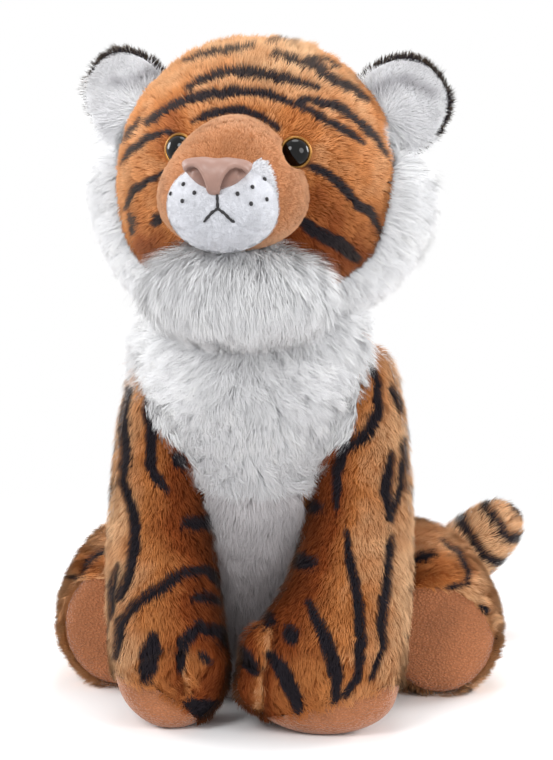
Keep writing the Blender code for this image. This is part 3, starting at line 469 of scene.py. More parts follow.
def upright_rings(shares, base, size, inset):
    """Level rings up a form, from shares of its height, width and depth and a shift back."""
    rings = []
    for up, wide, deep, shift in shares:
        centre = base + Vector((0.0, shift * size[1], up * size[2] + inset * (1 - 2 * up)))
        rings.append(ring(centre, X_AXIS, Y_AXIS, wide * size[0] / 2 - inset, deep * size[1] / 2 - inset))
    return rings


def spine_rings(shares, start, reach, halves, inset, across=X_AXIS, taper_share=0.0):
    """Rings square to a bent spine, from shares of a reach in x, y and z and of two half sizes."""
    centres = [Vector([low + share * length for low, share, length in zip(start, row, reach)])
               for row in shares]
    rings = []
    last = len(shares) - 1
    for index, row in enumerate(shares):
        ahead = (centres[min(index + 1, last)] - centres[max(index - 1, 0)]).normalized()
        side = (across - ahead * across.dot(ahead)).normalized()
        moved = centres[index] + ahead * (inset * (1 - 2 * index / last))
        rings.append(ring(moved, side, ahead.cross(side), row[3] * halves[0] - inset,
                          row[4] * halves[1] - inset, taper_share))
    return rings


def smooth_mesh(name, bm):
    """A smoothly shaded mesh from an edit mesh, which is freed."""
    mesh = bpy.data.meshes.new(name)
    bm.to_mesh(mesh)
    bm.free()
    mesh.shade_smooth()
    return mesh


def woven(name, rings, place=None, capped=False):
    """A mesh of faces between rings of points; a ring of one point is a pole."""
    bm = bmesh.new()
    count = max(len(points) for points in rings)
    loops = [[bm.verts.new(point) for point in points] * (count // len(points)) for points in rings]
    for low, high in zip(loops, loops[1:]):
        for index in range(count):
            following = (index + 1) % count
            bm.faces.new(list(dict.fromkeys((low[index], low[following], high[following], high[index]))))
    if capped:
        bm.faces.new(loops[0])
        bm.faces.new(loops[-1])
    bmesh.ops.recalc_face_normals(bm, faces=bm.faces)
    if place is not None:
        bmesh.ops.transform(bm, matrix=place, verts=bm.verts)
    return smooth_mesh(name, bm)


def linked(name, data):
    """An object of the scene that shows the data."""
    holder = bpy.data.objects.new(name, data)
    bpy.context.scene.collection.objects.link(holder)
    return holder


def rounded(name, rings, levels, place=None):
    """A closed mesh from a cage of rings, rounded by subdivision."""
    cage = woven(f"{name}_cage", rings, place, capped=True)
    holder = linked(f"{name}_cage", cage)
    holder.modifiers.new("Rounding", "SUBSURF").levels = levels
    bpy.context.view_layer.update()
    mesh = bpy.data.meshes.new_from_object(holder.evaluated_get(bpy.context.evaluated_depsgraph_get()))
    bpy.data.objects.remove(holder)
    bpy.data.meshes.remove(cage)
    mesh.name = name
    mesh.shade_smooth()
    return mesh


def turned(name, profile, place, steps=48):
    """A profile of (radius, height) turned round the place's Z axis."""
    angles = [math.tau * index / steps for index in range(steps)]
    rings = [[(radius * math.cos(angle), radius * math.sin(angle), height) for angle in angles]
             if radius else [(0.0, 0.0, height)] for radius, height in profile]
    return woven(name, rings, place)


def read_points(mesh):
    flat = np.empty(len(mesh.vertices) * 3)
    mesh.vertices.foreach_get("co", flat)
    return flat.reshape(-1, 3)


def read_normals(mesh):
    flat = np.empty(len(mesh.vertices) * 3)
    mesh.vertex_normals.foreach_get("vector", flat)
    return flat.reshape(-1, 3)


def write_points(mesh, points):
    mesh.vertices.foreach_set("co", points.ravel())
    mesh.update()


def floor_flat(mesh):
    """Nothing of a form reaches below the floor."""
    points = read_points(mesh)
    points[:, 2] = np.maximum(points[:, 2], FLOOR_GAP)
    write_points(mesh, points)
    return mesh


def without(mesh, remove):
    """The mesh less the faces whose middle the test picks."""
    bm = bmesh.new()
    bm.from_mesh(mesh)
    gone = remove(np.array([face.calc_center_median() for face in bm.faces]))
    bmesh.ops.delete(bm, geom=[face for face, drop in zip(bm.faces, gone) if drop], context="FACES")
    bm.to_mesh(mesh)
    bm.free()
    return mesh


def ray_tree(mesh):
    return BVHTree.FromPolygons([vertex.co for vertex in mesh.vertices],
                                [tuple(face.vertices) for face in mesh.polygons])


def upright_share(points, shares, base, size):
    """How far out a point lies in an upright form: below 1 is inside."""
    up = (points[:, 2] - base.z) / size[2]
    rows = np.array(shares)
    half_wide, half_deep, shift = (np.interp(up, rows[:, 0], rows[:, column]) for column in (1, 2, 3))
    half_wide = half_wide * size[0] / 2
    half_deep = half_deep * size[1] / 2
    middle = base.y + shift * size[1]
    out = np.sqrt(((points[:, 0] - base.x) / half_wide) ** 2 + ((points[:, 1] - middle) / half_deep) ** 2)
    return np.where((up < 0) | (up > 1), 2.0, out)


def in_torso(points):
    return upright_share(points, TORSO_SHARES, TORSO_BASE, TORSO_SIZE)


def head_local(points):
    return into(points, HEAD_FRAME)


def in_head(points):
    return upright_share(head_local(points), HEAD_SHARES, HEAD_BASE, HEAD_SIZE)


# The photograph's view

def photo_places(points):
    """Pixels of the photograph where points are seen."""
    seen = points - np.array(CAMERA_PLACE)
    depth = -(seen @ np.array(CAMERA_BACK))
    across = IMAGE_WIDTH / 2 + seen[:, 0] * FOCAL_PIXELS / depth
    down = IMAGE_HEIGHT / 2 - (seen @ np.array(CAMERA_UP)) * FOCAL_PIXELS / depth
    return np.stack([across, down], axis=1)


def on_surface(tree, place):
    """The point and normal that a pixel of the photograph shows, or None twice."""
    right = X_AXIS * ((place[0] - IMAGE_WIDTH / 2) / FOCAL_PIXELS)
    up = CAMERA_UP * ((IMAGE_HEIGHT / 2 - place[1]) / FOCAL_PIXELS)
    return tree.ray_cast(CAMERA_PLACE, (right + up - CAMERA_BACK).normalized())[:2]


def facing(normals):
    """How squarely a surface faces the photograph's camera, from -1 to 1."""
    return normals @ np.array(CAMERA_BACK)


def in_view(normals, full=0.3):
    """1 where a surface faces the photograph's camera, 0 where it is turned from it."""
    return smoothstep(0.0, full, facing(normals))


# Fibres close over a stripe's edges, so that it is drawn wider
STRIPE_GROWTH = 1.4
# How many pixels a drawn line wanders
WANDER = 1.6


def near_line(places, line, width, soft=1.6):
    """Cover from 0 to 1 round a drawn line that thins towards its ends."""
    line = np.array(line, float)
    steps = line[1:] - line[:-1]
    lengths = np.linalg.norm(steps, axis=1)
    starts = np.concatenate([[0.0], np.cumsum(lengths)])
    best = np.full(len(places), -1e9)
    for index in range(len(steps)):
        rel = places - line[index]
        along = np.clip(rel @ steps[index] / lengths[index] ** 2, 0.0, 1.0)
        distance = np.linalg.norm(rel - along[:, None] * steps[index], axis=1)
        travelled = (starts[index] + along * lengths[index]) / starts[-1]
        swell = np.sqrt(np.sin(np.pi * np.clip(travelled, 0.02, 0.98)))
        thick = STRIPE_GROWTH * width / 2 * (0.5 + 0.5 * swell)
        best = np.maximum(best, thick - distance)
    return smoothstep(-soft, soft, best)


def near_lines(places, normals, lines, width, soft):
    """Cover by several thin lines, where the surface is in the photograph's view."""
    cover = np.zeros(len(places))
    for line in lines:
        cover = np.maximum(cover, near_line(places, line, width, soft))
    return cover * in_view(normals)


def drawn(points, normals, lines, least_facing=0.12, growth=1.0, full_facing=0.01):
    """Cover by lines drawn on the photograph, where the surface faces its camera.

    Below full_facing the lines thin, or they would smear along a surface seen at a slant.
    """
    slant = np.clip(facing(normals) / full_facing, 0.45, 1.0)
    places = photo_places(points)
    places = places + WANDER * in_threes(noise, points, 0.004, 71)[:, :2] * slant[:, None]
    cover = np.zeros(len(points))
    for width, line in lines:
        cover = np.maximum(cover, near_line(places, line, width * growth * slant))
    return cover * smoothstep(least_facing - 0.1, least_facing + 0.1, facing(normals))


def bands(points, along, period, width_share, seed, breaks=0.25):
    """Stripes across a direction: wavy bands that thin out and break."""
    shifted = (along + 0.35 * period * noise(points, 0.045, seed)
               + 0.10 * period * noise(points, 0.012, seed + 1))
    phase = shifted / period
    beat = np.abs(phase - np.round(phase)) * 2
    broken = noise(points, 0.030, seed + 2) + 0.6 * lattice(np.stack([np.round(phase)] * 3, axis=1), seed + 3)
    limit = width_share * np.clip(0.75 - breaks * broken, 0.0, 1.3)
    return smoothstep(0.10, -0.10, beat - limit)


def inside_outline(places, outline):
    """Which places lie inside a closed outline."""
    inside = np.zeros(len(places), bool)
    last = outline[-1]
    for point in outline:
        crosses = (point[1] > places[:, 1]) != (last[1] > places[:, 1])
        slope = (last[0] - point[0]) / ((last[1] - point[1]) or 1e-9)
        inside ^= crosses & (places[:, 0] < point[0] + (places[:, 1] - point[1]) * slope)
        last = point
    return inside


def nearest_step(points, line):
    """For each point, its nearest step of a line: the step's index, the share along it and the distance."""
    index = np.zeros(len(points), int)
    best = np.full(len(points), np.inf)
    along = np.zeros(len(points))
    for number, (start, end) in enumerate(zip(line, line[1:])):
        step = end - start
        share = np.clip((points - start) @ step / (step @ step), 0, 1)
        distance = np.linalg.norm(points - start - share[:, None] * step, axis=1)
        closer = distance < best
        index[closer] = number
        best[closer] = distance[closer]
        along[closer] = share[closer]
    return index, along, best


# Pile

# How many degrees apart the fibres of a place may lean, and how far their direction drifts
LEAN_SPREAD = 14
DRIFT = 0.25


def scatter(mesh, density, rng):
    """Evenly spread places on a mesh, so many to a square millimetre, with their normals."""
    mesh.calc_loop_triangles()
    triangles = np.empty(len(mesh.loop_triangles) * 3, dtype=np.int32)
    mesh.loop_triangles.foreach_get("vertices", triangles)
    triangles = triangles.reshape(-1, 3)
    points = read_points(mesh)
    normals = read_normals(mesh)
    corners = points[triangles]
    areas = np.linalg.norm(np.cross(corners[:, 1] - corners[:, 0], corners[:, 2] - corners[:, 0]), axis=1) / 2
    total = np.cumsum(areas)
    count = int(total[-1] * 1e6 * density)
    spots = (np.arange(count) + rng.random(count)) / count * total[-1]
    picked = triangles[np.minimum(np.searchsorted(total, spots), len(areas) - 1)]
    first = np.sqrt(rng.random(count))
    second = rng.random(count)
    weights = np.stack([1 - first, first * (1 - second), first * second], axis=1)[:, :, None]
    return (points[picked] * weights).sum(axis=1), unit((normals[picked] * weights).sum(axis=1))


def along_skin(vectors, normals):
    """Vectors less what points off the surface."""
    return vectors - normals * (vectors * normals).sum(axis=1, keepdims=True)


def pile(name, mesh, body, slot, paint, flow, keep, seed, density=2.0, length=0.0056, width=0.00030,
         lean=(42.0, 68.0), tuft=0.0045, gather=0.14, ruffle=0.28, bends=1, grain=0.20, stray=0.30):
    """Fibres on a mesh. Paint gives each fibre its tip and root colours, and flow its direction."""
    rng = np.random.default_rng(seed)
    roots, normals = scatter(mesh, density, rng)
    kept = keep(roots, normals)
    roots, normals = roots[kept], normals[kept]
    count = len(roots)
    centres, tuft_values = tufts(roots, tuft, seed)
    combed = flow(roots, normals) + ruffle * tuft_values + DRIFT * in_threes(noise, roots, 0.018, seed + 5)
    combed = unit(along_skin(combed + stray * (rng.random((count, 3)) - 0.5), normals))
    lengths = length(roots, normals) if callable(length) else np.full(count, length)
    lengths = lengths * (1 + 0.18 * tuft_values[:, 0]) * (0.75 + 0.45 * rng.random(count))
    steps = bends + 1
    spine = [roots]
    for step in range(steps):
        share = step / max(steps - 1, 1)
        angle = np.radians(lean[0] + (lean[1] - lean[0]) * share + LEAN_SPREAD * (rng.random(count) - 0.5))
        ahead = normals * np.cos(angle)[:, None] + combed * np.sin(angle)[:, None]
        spine.append(spine[-1] + ahead * (lengths / steps)[:, None])
    # The tips of a tuft lean together
    offset = along_skin(centres - roots, normals) * (gather * 2 * rng.random(count))[:, None]
    for step in range(1, steps + 1):
        spine[step] = spine[step] + offset * (step / steps) ** 1.5
    side = unit(np.cross(normals, combed) + 0.5 * (rng.random((count, 3)) - 0.5))
    tips, shaded_bases = paint(spine[-1], roots, normals)
    shade = (1 + 0.05 * tuft_values[:, 1] + 0.05 * noise(roots, 0.006, seed + 9)
             + grain * (rng.random(count) - 0.5))[:, None]
    lifted = unit(normals + 0.35 * combed)
    # A fibre is a flat blade: its root, two points to each bend, and its tip
    rows = [roots]
    # A fibre's colours run from its root, darkened with painted shade, towards its tip
    colours = [shaded_bases]
    lies = [normals]
    for step in range(1, steps):
        half = width * (0.5 + 0.2 * (rng.random(count) - 0.5))[:, None]
        taper = 1.0 - 0.35 * (step - 1) / steps
        rows += [spine[step] - side * half * taper, spine[step] + side * half * taper]
        colours += [shaded_bases + (tips - shaded_bases) * (0.25 + 0.55 * step / steps)] * 2
        lies += [unit(lifted - 0.35 * side), unit(lifted + 0.35 * side)]
    rows.append(spine[-1])
    colours.append(tips)
    lies.append(unit(normals + 0.6 * combed))
    points = np.stack(rows, axis=1).reshape(-1, 3)
    points[:, 2] = np.maximum(points[:, 2], FLOOR_GAP)
    tones = np.clip(np.stack(colours, axis=1) * shade[:, None], 0, 1).reshape(-1, 3)
    lies = np.stack(lies, axis=1).reshape(-1, 3)
    wide = len(rows)
    pattern = [(0, 1, 2)]
    for low in range(1, wide - 4, 2):
        pattern += [(low, low + 2, low + 3), (low, low + 3, low + 1)]
    pattern.append((wide - 3, wide - 1, wide - 2))
    faces = (np.arange(count)[:, None, None] * wide + np.array(pattern)).reshape(-1, 3)
    fibres = triangle_mesh(name, points, faces)
    set_tones(fibres, tones)
    layer = fibres.uv_layers.new(name="OFBake")
    layer.data.foreach_set("uv", cell_places(count, wide)[faces.ravel()].ravel())
    # The direction in which each fibre is lit is the same from its front and its back
    fibres.attributes.new("Lie", "FLOAT_VECTOR", "POINT").data.foreach_set("vector", lies.ravel())
    fibres.normals_split_custom_set_from_vertices(lies)
    add_piece(name, fibres, body, PILE_LOOKS[slot])


def triangle_mesh(name, points, faces):
    mesh = bpy.data.meshes.new(name)
    mesh.vertices.add(len(points))
    mesh.vertices.foreach_set("co", points.ravel())
    mesh.loops.add(faces.size)
    mesh.loops.foreach_set("vertex_index", faces.ravel().astype(np.int32))
    mesh.polygons.add(len(faces))
    mesh.polygons.foreach_set("loop_start", np.arange(len(faces), dtype=np.int32) * 3)
    mesh.update(calc_edges=True)
    mesh.shade_smooth()
    return mesh


def set_tones(mesh, tones):
    """Colours of the vertices, read by the cloth materials."""
    attribute = mesh.color_attributes.new("Tone", "FLOAT_COLOR", "POINT")
    attribute.data.foreach_set("color", np.column_stack([tones, np.ones(len(tones))]).ravel())


def cell_places(count, wide):
    """A small cell of a picture for each fibre, so that its colours can be stored."""
    across = math.ceil(math.sqrt(count))
    fibre = np.arange(count)
    step = np.arange(wide)
    x = (fibre % across)[:, None] + np.where(step % 2 == 1, 0.25, 0.75)
    y = (fibre // across)[:, None] + 0.15 + 0.7 * step / (wide - 1)
    return np.stack([x / across, y / across], axis=2).reshape(-1, 2)


def add_piece(name, mesh, body, look, nodes=()):
    piece = linked(name, mesh)
    mesh.name = name
    mesh.materials.clear()
    mesh.materials.append(look)
    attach(piece, body)
    if nodes:
        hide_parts(*nodes)


def backing(name, mesh, body, paint, nodes):
    """The cloth under a pile, in colours about a third of the way from the roots' painted shade to the tips.
    """
    points = read_points(mesh)
    normals = read_normals(mesh)
    tips, shaded_bases = paint(points + 0.003 * normals, points, normals)
    set_tones(mesh, np.clip(shaded_bases + 0.35 * (tips - shaded_bases), 0, 1))
    add_piece(name, mesh, body, BACKING_LOOK, nodes)


# Materials

class Nodes:
    """A material's node tree, built link by link."""

    def __init__(self, name, roughness, **constants):
        self.material = bpy.data.materials.new(name)
        self.material.use_nodes = True
        self.tree = self.material.node_tree
        self.shader = self.tree.nodes["Principled BSDF"]
        self.settle(self.shader, Roughness=roughness, **constants)

    def settle(self, node, **values):
        """Set a node's properties, and constants on its sockets."""
        for key, value in values.items():
            if hasattr(node, key):
                setattr(node, key, value)
            else:
                node.inputs[key.replace("_", " ")].default_value = value

    def add(self, kind, feeds, output, **values):
        """An output of a new node, whose sockets are fed by other outputs."""
        node = self.tree.nodes.new(kind)
        self.settle(node, **values)
        for socket, source in feeds.items():
            self.tree.links.new(source, node.inputs[socket])
        return node.outputs[output]

    def feed(self, **sources):
        """Link outputs to the shader's sockets."""
        for socket, source in sources.items():
            self.tree.links.new(source, self.shader.inputs[socket.replace("_", " ")])

    def places(self):
        return self.add("ShaderNodeTexCoord", {}, "Object")

    def tone(self):
        return self.add("ShaderNodeVertexColor", {}, "Color", layer_name="Tone")

    def noise(self, scale, detail=3.0):
        return self.add("ShaderNodeTexNoise", {"Vector": self.places()}, "Fac", Scale=scale, Detail=detail)

    def ramp(self, value, low, high, first, second):
        return self.add("ShaderNodeMapRange", {"Value": value}, "Result", From_Min=low, From_Max=high,
                        To_Min=first, To_Max=second)

    def times(self, shade, factor):
        return self.add("ShaderNodeVectorMath", {0: shade, "Scale": factor}, "Vector", operation="SCALE")

    def blend(self, factor, first, second):
        """A mix of two constant colours."""
        node = self.tree.nodes.new("ShaderNodeMix")
        node.data_type = "RGBA"
        self.tree.links.new(factor, node.inputs["Factor"])
        node.inputs[6].default_value = (*first, 1.0)
        node.inputs[7].default_value = (*second, 1.0)
        return node.outputs[2]

    def bump(self, height, strength, distance):
        self.feed(Normal=self.add("ShaderNodeBump", {"Height": height}, "Normal", Strength=strength,
                                  Distance=distance))


def toned(name, roughness, patch_size, low, high, **constants):
    """A cloth that takes its colours from its vertices, with soft patches."""
    nodes = Nodes(name, roughness, **constants)
    patches = nodes.ramp(nodes.noise(1 / patch_size), 0.3, 0.7, low, high)
    nodes.feed(Base_Color=nodes.times(nodes.tone(), patches))
    return nodes


def pile_look(name, tint, low=0.92, high=1.08, sheen=0.25):
    nodes = toned(name, 0.75, 0.012, low, high, Specular_IOR_Level=0.15, Sheen_Weight=sheen,
                  Sheen_Roughness=0.45, Sheen_Tint=(*tint, 1.0))
    lie = nodes.add("ShaderNodeAttribute", {}, "Vector", attribute_name="Lie")
    nodes.feed(Normal=nodes.add("ShaderNodeVectorTransform", {"Vector": lie}, "Vector", vector_type="NORMAL",
                                convert_from="OBJECT", convert_to="WORLD"))
    return nodes.material


def backing_look(name):
    nodes = toned(name, 0.92, 0.006, 0.85, 1.1, Specular_IOR_Level=0.1)
    nodes.bump(nodes.noise(1500, 2.0), 0.6, 0.0006)
    return nodes.material


def suede_look():
    nodes = Nodes("suede_look", 0.82, Specular_IOR_Level=0.25, Sheen_Weight=0.35, Sheen_Roughness=0.4)
    stretched = nodes.add("ShaderNodeMapping", {"Vector": nodes.places()}, "Vector", Scale=(0.75, 1.0, 1.0))
    pebbles = nodes.add("ShaderNodeTexVoronoi", {"Vector": stretched}, "Distance", Scale=980.0)
    valleys = nodes.ramp(pebbles, 0.15, 0.75, 1.09, 0.78)
    broad = nodes.ramp(nodes.noise(60, 4.0), 0.3, 0.7, 0.84, 1.1)
    mottled = nodes.blend(nodes.ramp(nodes.noise(2600), 0.35, 0.65, 0.0, 1.0), SUEDE * 0.88, SUEDE * 1.12)
    nodes.feed(Base_Color=nodes.times(nodes.times(mottled, broad), valleys))
    nodes.bump(nodes.ramp(pebbles, 0.0, 0.7, 1.0, 0.0), 0.9, 0.0007)
    return nodes.material


def nose_look():
    nodes = Nodes("nose_look", 0.42, Specular_IOR_Level=0.45)
    nodes.feed(Base_Color=nodes.times(nodes.tone(), nodes.ramp(nodes.noise(140, 4.0), 0.3, 0.7, 0.9, 1.08)),
               Roughness=nodes.ramp(nodes.noise(700, 2.0), 0.3, 0.7, 0.36, 0.5))
    nodes.bump(nodes.noise(2200), 0.18, 0.0003)
    return nodes.material


def plain_look(name, base, roughness, scale, spread, depth, **constants):
    """A solid material with fine mottling and grain."""
    nodes = Nodes(name, roughness, **constants)
    grain = nodes.noise(scale)
    mottle = nodes.ramp(grain, 0.3, 0.7, 0.0, 1.0)
    nodes.feed(Base_Color=nodes.blend(mottle, base * (1 - spread), base * (1 + spread)))
    if depth:
        nodes.bump(grain, 0.3, depth)
    return nodes.material


WHITE_PILE = pile_look("white_pile", (1.0, 1.0, 1.0), 0.97, 1.03)
PILE_LOOKS = {
    "plush_orange": pile_look("orange_pile", (1.0, 0.72, 0.45), 0.88, 1.12, 0.10),
    "plush_white": WHITE_PILE,
    "plush_grey": WHITE_PILE,
    "plush_brown": pile_look("brown_pile", (1.0, 0.8, 0.6)),
}
BACKING_LOOK = backing_look("backing_cloth")
SUEDE_LOOK = suede_look()
NOSE_LOOK = nose_look()
EYE_LOOK = plain_look("eye_black", colour(9, 6, 5), 0.05, 900, 0.2, 0.0, Specular_IOR_Level=0.3)
IRIS_LOOK = plain_look("eye_bronze", colour(150, 108, 58), 0.3, 1500, 0.3, 0.0, Metallic=0.9)
THREAD_LOOK = plain_look("black_thread", colour(24, 22, 26), 0.6, 3000, 0.3, 0.0004, Sheen_Weight=0.2)
WASHER_LOOK = plain_look("washer_plastic", colour(236, 236, 234), 0.4, 800, 0.03, 0.0001)


# Paints: colours of tips and roots at places

def even(value):
    """The same value for every fibre."""
    return lambda roots, normals: np.full(len(roots), value)


def orange_paint(stripes, rust_and_shade_of=even(0.45)):
    """Striped pile, tan where the rust value is 0, orange at a half and rust at 1; above 1 the rust is
    darkened with painted shade, by half at 2.
    """
    def paint(tips, roots, normals):
        rust = rust_and_shade_of(roots, normals) + 0.22 * noise(roots, 0.020, 301) + 0.12 * noise(roots, 0.006, 303)
        rust = np.clip(rust, 0.0, 2.0)
        # Rust above 1 darkens tips and roots with painted shade
        deep = 1 - 0.5 * np.clip(rust - 1, 0.0, 1.0)[:, None]
        to_orange = np.minimum(2 * np.minimum(rust, 1.0), 1.0)
        to_rust = np.maximum(2 * np.minimum(rust, 1.0) - 1, 0.0)
        tip = mix(mix(TAN_TIP, ORANGE_TIP, to_orange), RUST_TIP, to_rust)
        root = mix(mix(TAN_ROOT_SHADED, ORANGE_ROOT_SHADED, to_orange), RUST_ROOT_SHADED, to_rust)
        cover = stripes(tips, roots, normals)
        # Under a stripe the roots are darker still, with painted shade
        return mix(tip * deep, STRIPE, cover), mix(root * deep, STRIPE * 0.8, cover)
    return paint


def even_paint(tip, root, size=0.02, spread=0.06):
    def paint(tips, roots, normals):
        patch = (1 + spread * noise(roots, size, 302))[:, None]
        return tip * patch, root * patch
    return paint


def with_white(paint, cover_of, white=WHITE, white_root_shaded=WHITE_ROOT_SHADED):
    """A paint that turns white where the cover says."""
    def paint_both(tips, roots, normals):
        tip, root = paint(tips, roots, normals)
        cover = cover_of(tips, normals)
        return mix(tip, white, cover), mix(root, white_root_shaded, cover)
    return paint_both


PLAIN_WHITE = even_paint(WHITE, WHITE_ROOT_SHADED)

# Long white fur is finer, straighter and more even than the orange pile
WHITE_FUR = {"width": 0.00022, "tuft": 0.0036, "gather": 0.10, "ruffle": 0.24, "bends": 2, "grain": 0.07,
             "stray": 0.60}


def white_fur(name, mesh, body, paint, flow, keep, seed, **wanted):
    pile(name, mesh, body, "plush_white", paint, flow, keep, seed, **{**WHITE_FUR, **wanted})


# Torso

def torso_stripes(tips, roots, normals):
    down = roots[:, 2] + 0.10 * np.abs(roots[:, 0])
    behind = bands(roots, down, 0.027, 0.36, 401) * (1 - in_view(normals))
    return np.maximum(drawn(tips, normals, BODY_LINES), behind)


def bib_cover(tips, normals):
    places = photo_places(tips) + 3.0 * in_threes(noise, tips, 0.006, 81)[:, :2]
    return inside_outline(places, BIB_EDGE) & (facing(normals) > -0.15)


def on_bib(points):
    away = unit(points - np.array((0, 0.0, 0.12)))
    return bib_cover(points, away) & (points[:, 1] < -0.01) & (points[:, 2] > BIB_FOOT)


def on_belly(points):
    half = np.interp(points[:, 2], [0.0, BIB_FOOT], [0.017, 0.022])
    return (np.abs(points[:, 0]) < half) & (points[:, 1] < -0.02) & (points[:, 2] < BIB_FOOT)


def torso_flow(roots, normals):
    outward = np.sign(roots[:, 0]) * np.clip(np.abs(roots[:, 0]) / 0.06, 0, 1)
    return columns(len(roots), 0.35 * outward, 0.0, -1.0)


def bib_flow(roots, normals):
    outward = np.clip(roots[:, 0] / 0.045, -1, 1)
    return columns(len(roots), 1.1 * outward, 0.0, -0.75) + 0.55 * in_threes(noise, roots, 0.024, 85)


def bib_length(roots, normals):
    return np.interp(roots[:, 2], [0.150, 0.185], [0.0105, 0.0150])


def belly_paint(tips, roots, normals):
    """Grey pile, darkened towards the seat with painted shade."""
    high = smoothstep(0.055, 0.110, roots[:, 2])
    patch = (1 + 0.08 * noise(roots, 0.008, 302))[:, None]
    return mix(BELLY, BELLY_TOP, high) * patch, mix(BELLY_ROOT_SHADED, BELLY, high) * patch


def build_torso():
    form = rounded("torso_cloth", upright_rings(TORSO_SHARES, TORSO_BASE, TORSO_SIZE, BACKING), FINE)
    skin = without(form.copy(), lambda points: on_bib(points) | on_belly(points))
    bib = without(form.copy(), lambda points: ~on_bib(points))
    belly = without(form.copy(), lambda points: ~on_belly(points) | on_bib(points))
    paint = orange_paint(torso_stripes)
    backing("torso_cloth", skin, "torso", paint,
            ("torso_skin", "torso_stuffing", "bean_pouch"))
    backing("bib_cloth", bib, "torso", PLAIN_WHITE, ("chest_bib",))
    backing("belly_cloth", belly, "torso", belly_paint, ("belly_panel",))
    clear = lambda roots, normals: (roots[:, 2] > 0.004) & (in_head(roots) > 0.9)
    pile("torso_pile", skin, "torso", "plush_orange", paint, torso_flow, clear, 1, density=1.5)
    white_fur("bib_pile", bib, "torso", PLAIN_WHITE, bib_flow, clear, 2, density=4.6, length=bib_length,
              lean=(28, 66), ruffle=0.45, gather=0.14)
    pile("belly_pile", belly, "torso", "plush_grey", belly_paint, torso_flow, clear, 3, density=5.0,
         length=0.0105, width=0.00022, lean=(40, 74), gather=0.14, ruffle=0.40, bends=2, stray=0.5)


# Head

def head_stripes(tips, roots, normals):
    """Lines of the photograph in front, and bands over the crown and down the nape."""
    local = head_local(roots)
    angle = np.arctan2(local[:, 2], -local[:, 1] + 0.02)
    behind = bands(roots, angle * 0.062 + 0.1 * np.abs(local[:, 0]), 0.024, 0.36, 411)
    front = smoothstep(-0.10, 0.15, facing(normals))
    return np.maximum(drawn(tips, normals, HEAD_LINES, full_facing=0.5), behind * (1 - front))


def head_rust(roots, normals):
    height = head_local(roots)[:, 2]
    rust = np.interp(height, [-0.050, -0.010, 0.030, 0.055], [0.80, 0.60, 0.40, 0.26])
    places = photo_places(roots)
    for width, line in RUST_LINES:
        rust = rust + 0.35 * near_line(places, line, width, 9.0) * in_view(normals)
    return np.minimum(rust, 1.1)


def temple(points):
    """Where the long white fur runs behind the face, from the ears down to the ruffs."""
    local = head_local(points)
    behind = smoothstep(-0.006, 0.002, local[:, 1]) * smoothstep(0.036, 0.028, local[:, 1])
    level = smoothstep(-0.046, -0.038, local[:, 2]) * smoothstep(0.030, 0.022, local[:, 2])
    return behind * level * (np.abs(local[:, 0]) > 0.035)


def white_of_head(tips, normals):
    local = head_local(tips)
    under = smoothstep(-0.044, -0.052, local[:, 2]) * (local[:, 1] < 0.02)
    return np.maximum(under, temple(tips))


def snout_corner(tips, normals):
    return inside_outline(photo_places(tips), SNOUT_CORNER) & (facing(normals) > 0)


def head_flow(roots, normals):
    source = np.array(HEAD_FRAME @ Vector((0.0, -0.085, 0.004)))
    return unit(roots - source) + np.array((0.0, 0.0, -0.35))


def eye_frame(side):
    across = EYE_OUT / (HEAD_SIZE[0] / 2)
    rise = EYE_LIFT / (HEAD_SIZE[2] / 2)
    forward = HEAD_SIZE[1] / 2 * math.sqrt(1 - across ** 2 - rise ** 2) - EYE_SINK
    place = Matrix.Translation(Vector((side * EYE_OUT, -forward, EYE_LIFT)))
    aim = Matrix.Rotation(side * EYE_TURN, 4, "Z") @ Matrix.Rotation(math.pi / 2 - EYE_RISE, 4, "X")
    return HEAD_FRAME @ place @ aim


def from_eyes(points):
    """How far points lie from the seat of the nearer eye."""
    seats = [np.array(eye_frame(side).translation) for _, side in SIDES]
    return np.min([np.linalg.norm(points - seat, axis=1) for seat in seats], axis=0)


def near_eyes(points, reach):
    """Which points lie within a number of eye radii of an eye's axis, at or above its seat."""
    near = np.zeros(len(points), bool)
    for _, side in SIDES:
        local = into(points, eye_frame(side))
        near |= (np.hypot(local[:, 0], local[:, 1]) < EYE_RADIUS * reach) & (local[:, 2] > -EYE_RADIUS)
    return near


def press_by_eyes(mesh):
    """The muzzle is pressed in beside each eye."""
    points = read_points(mesh)
    for _, side in SIDES:
        place = np.array(eye_frame(side))
        inverse = np.linalg.inv(place)
        local = points @ inverse[:3, :3].T + inverse[:3, 3]
        room = smoothstep(1.35, 1.02, np.hypot(local[:, 0], local[:, 1]) / EYE_RADIUS)
        local[:, 2] = np.where(local[:, 2] > 0, local[:, 2] * (1 - room), local[:, 2])
        points = local @ place[:3, :3].T + place[:3, 3]
    write_points(mesh, points)


def clear_of_face(roots, normals):
    """Head fur leaves room for the muzzle, the eyes and the white fur of the temples."""
    local = head_local(roots)
    half_wide, half_high = MUZZLE_CLEARING
    by_muzzle = np.hypot(local[:, 0] / half_wide, (local[:, 2] - MUZZLE_LIFT) / half_high) < 1
    by_eye = from_eyes(roots) < EYE_RADIUS * EYE_CLEARING
    covered = (by_muzzle & (local[:, 1] < 0)) | by_eye
    return ~covered & (roots[:, 2] > HEAD_FUR_FOOT) & (temple(roots) < 0.6)


def head_length(roots, normals):
    """Head fur is short near the muzzle and the eyes and long on the crown."""
    local = head_local(roots)
    from_muzzle = np.linalg.norm(local - np.array((0.0, -0.06, MUZZLE_LIFT)), axis=1)
    lengths = np.minimum(np.interp(from_muzzle, [0.03, 0.055], [0.0028, 0.0050]),
                         np.interp(from_eyes(roots), [EYE_RADIUS, 0.018], [0.0022, 0.0060]))
    return lengths + 0.0036 * smoothstep(0.045, 0.064, local[:, 2])


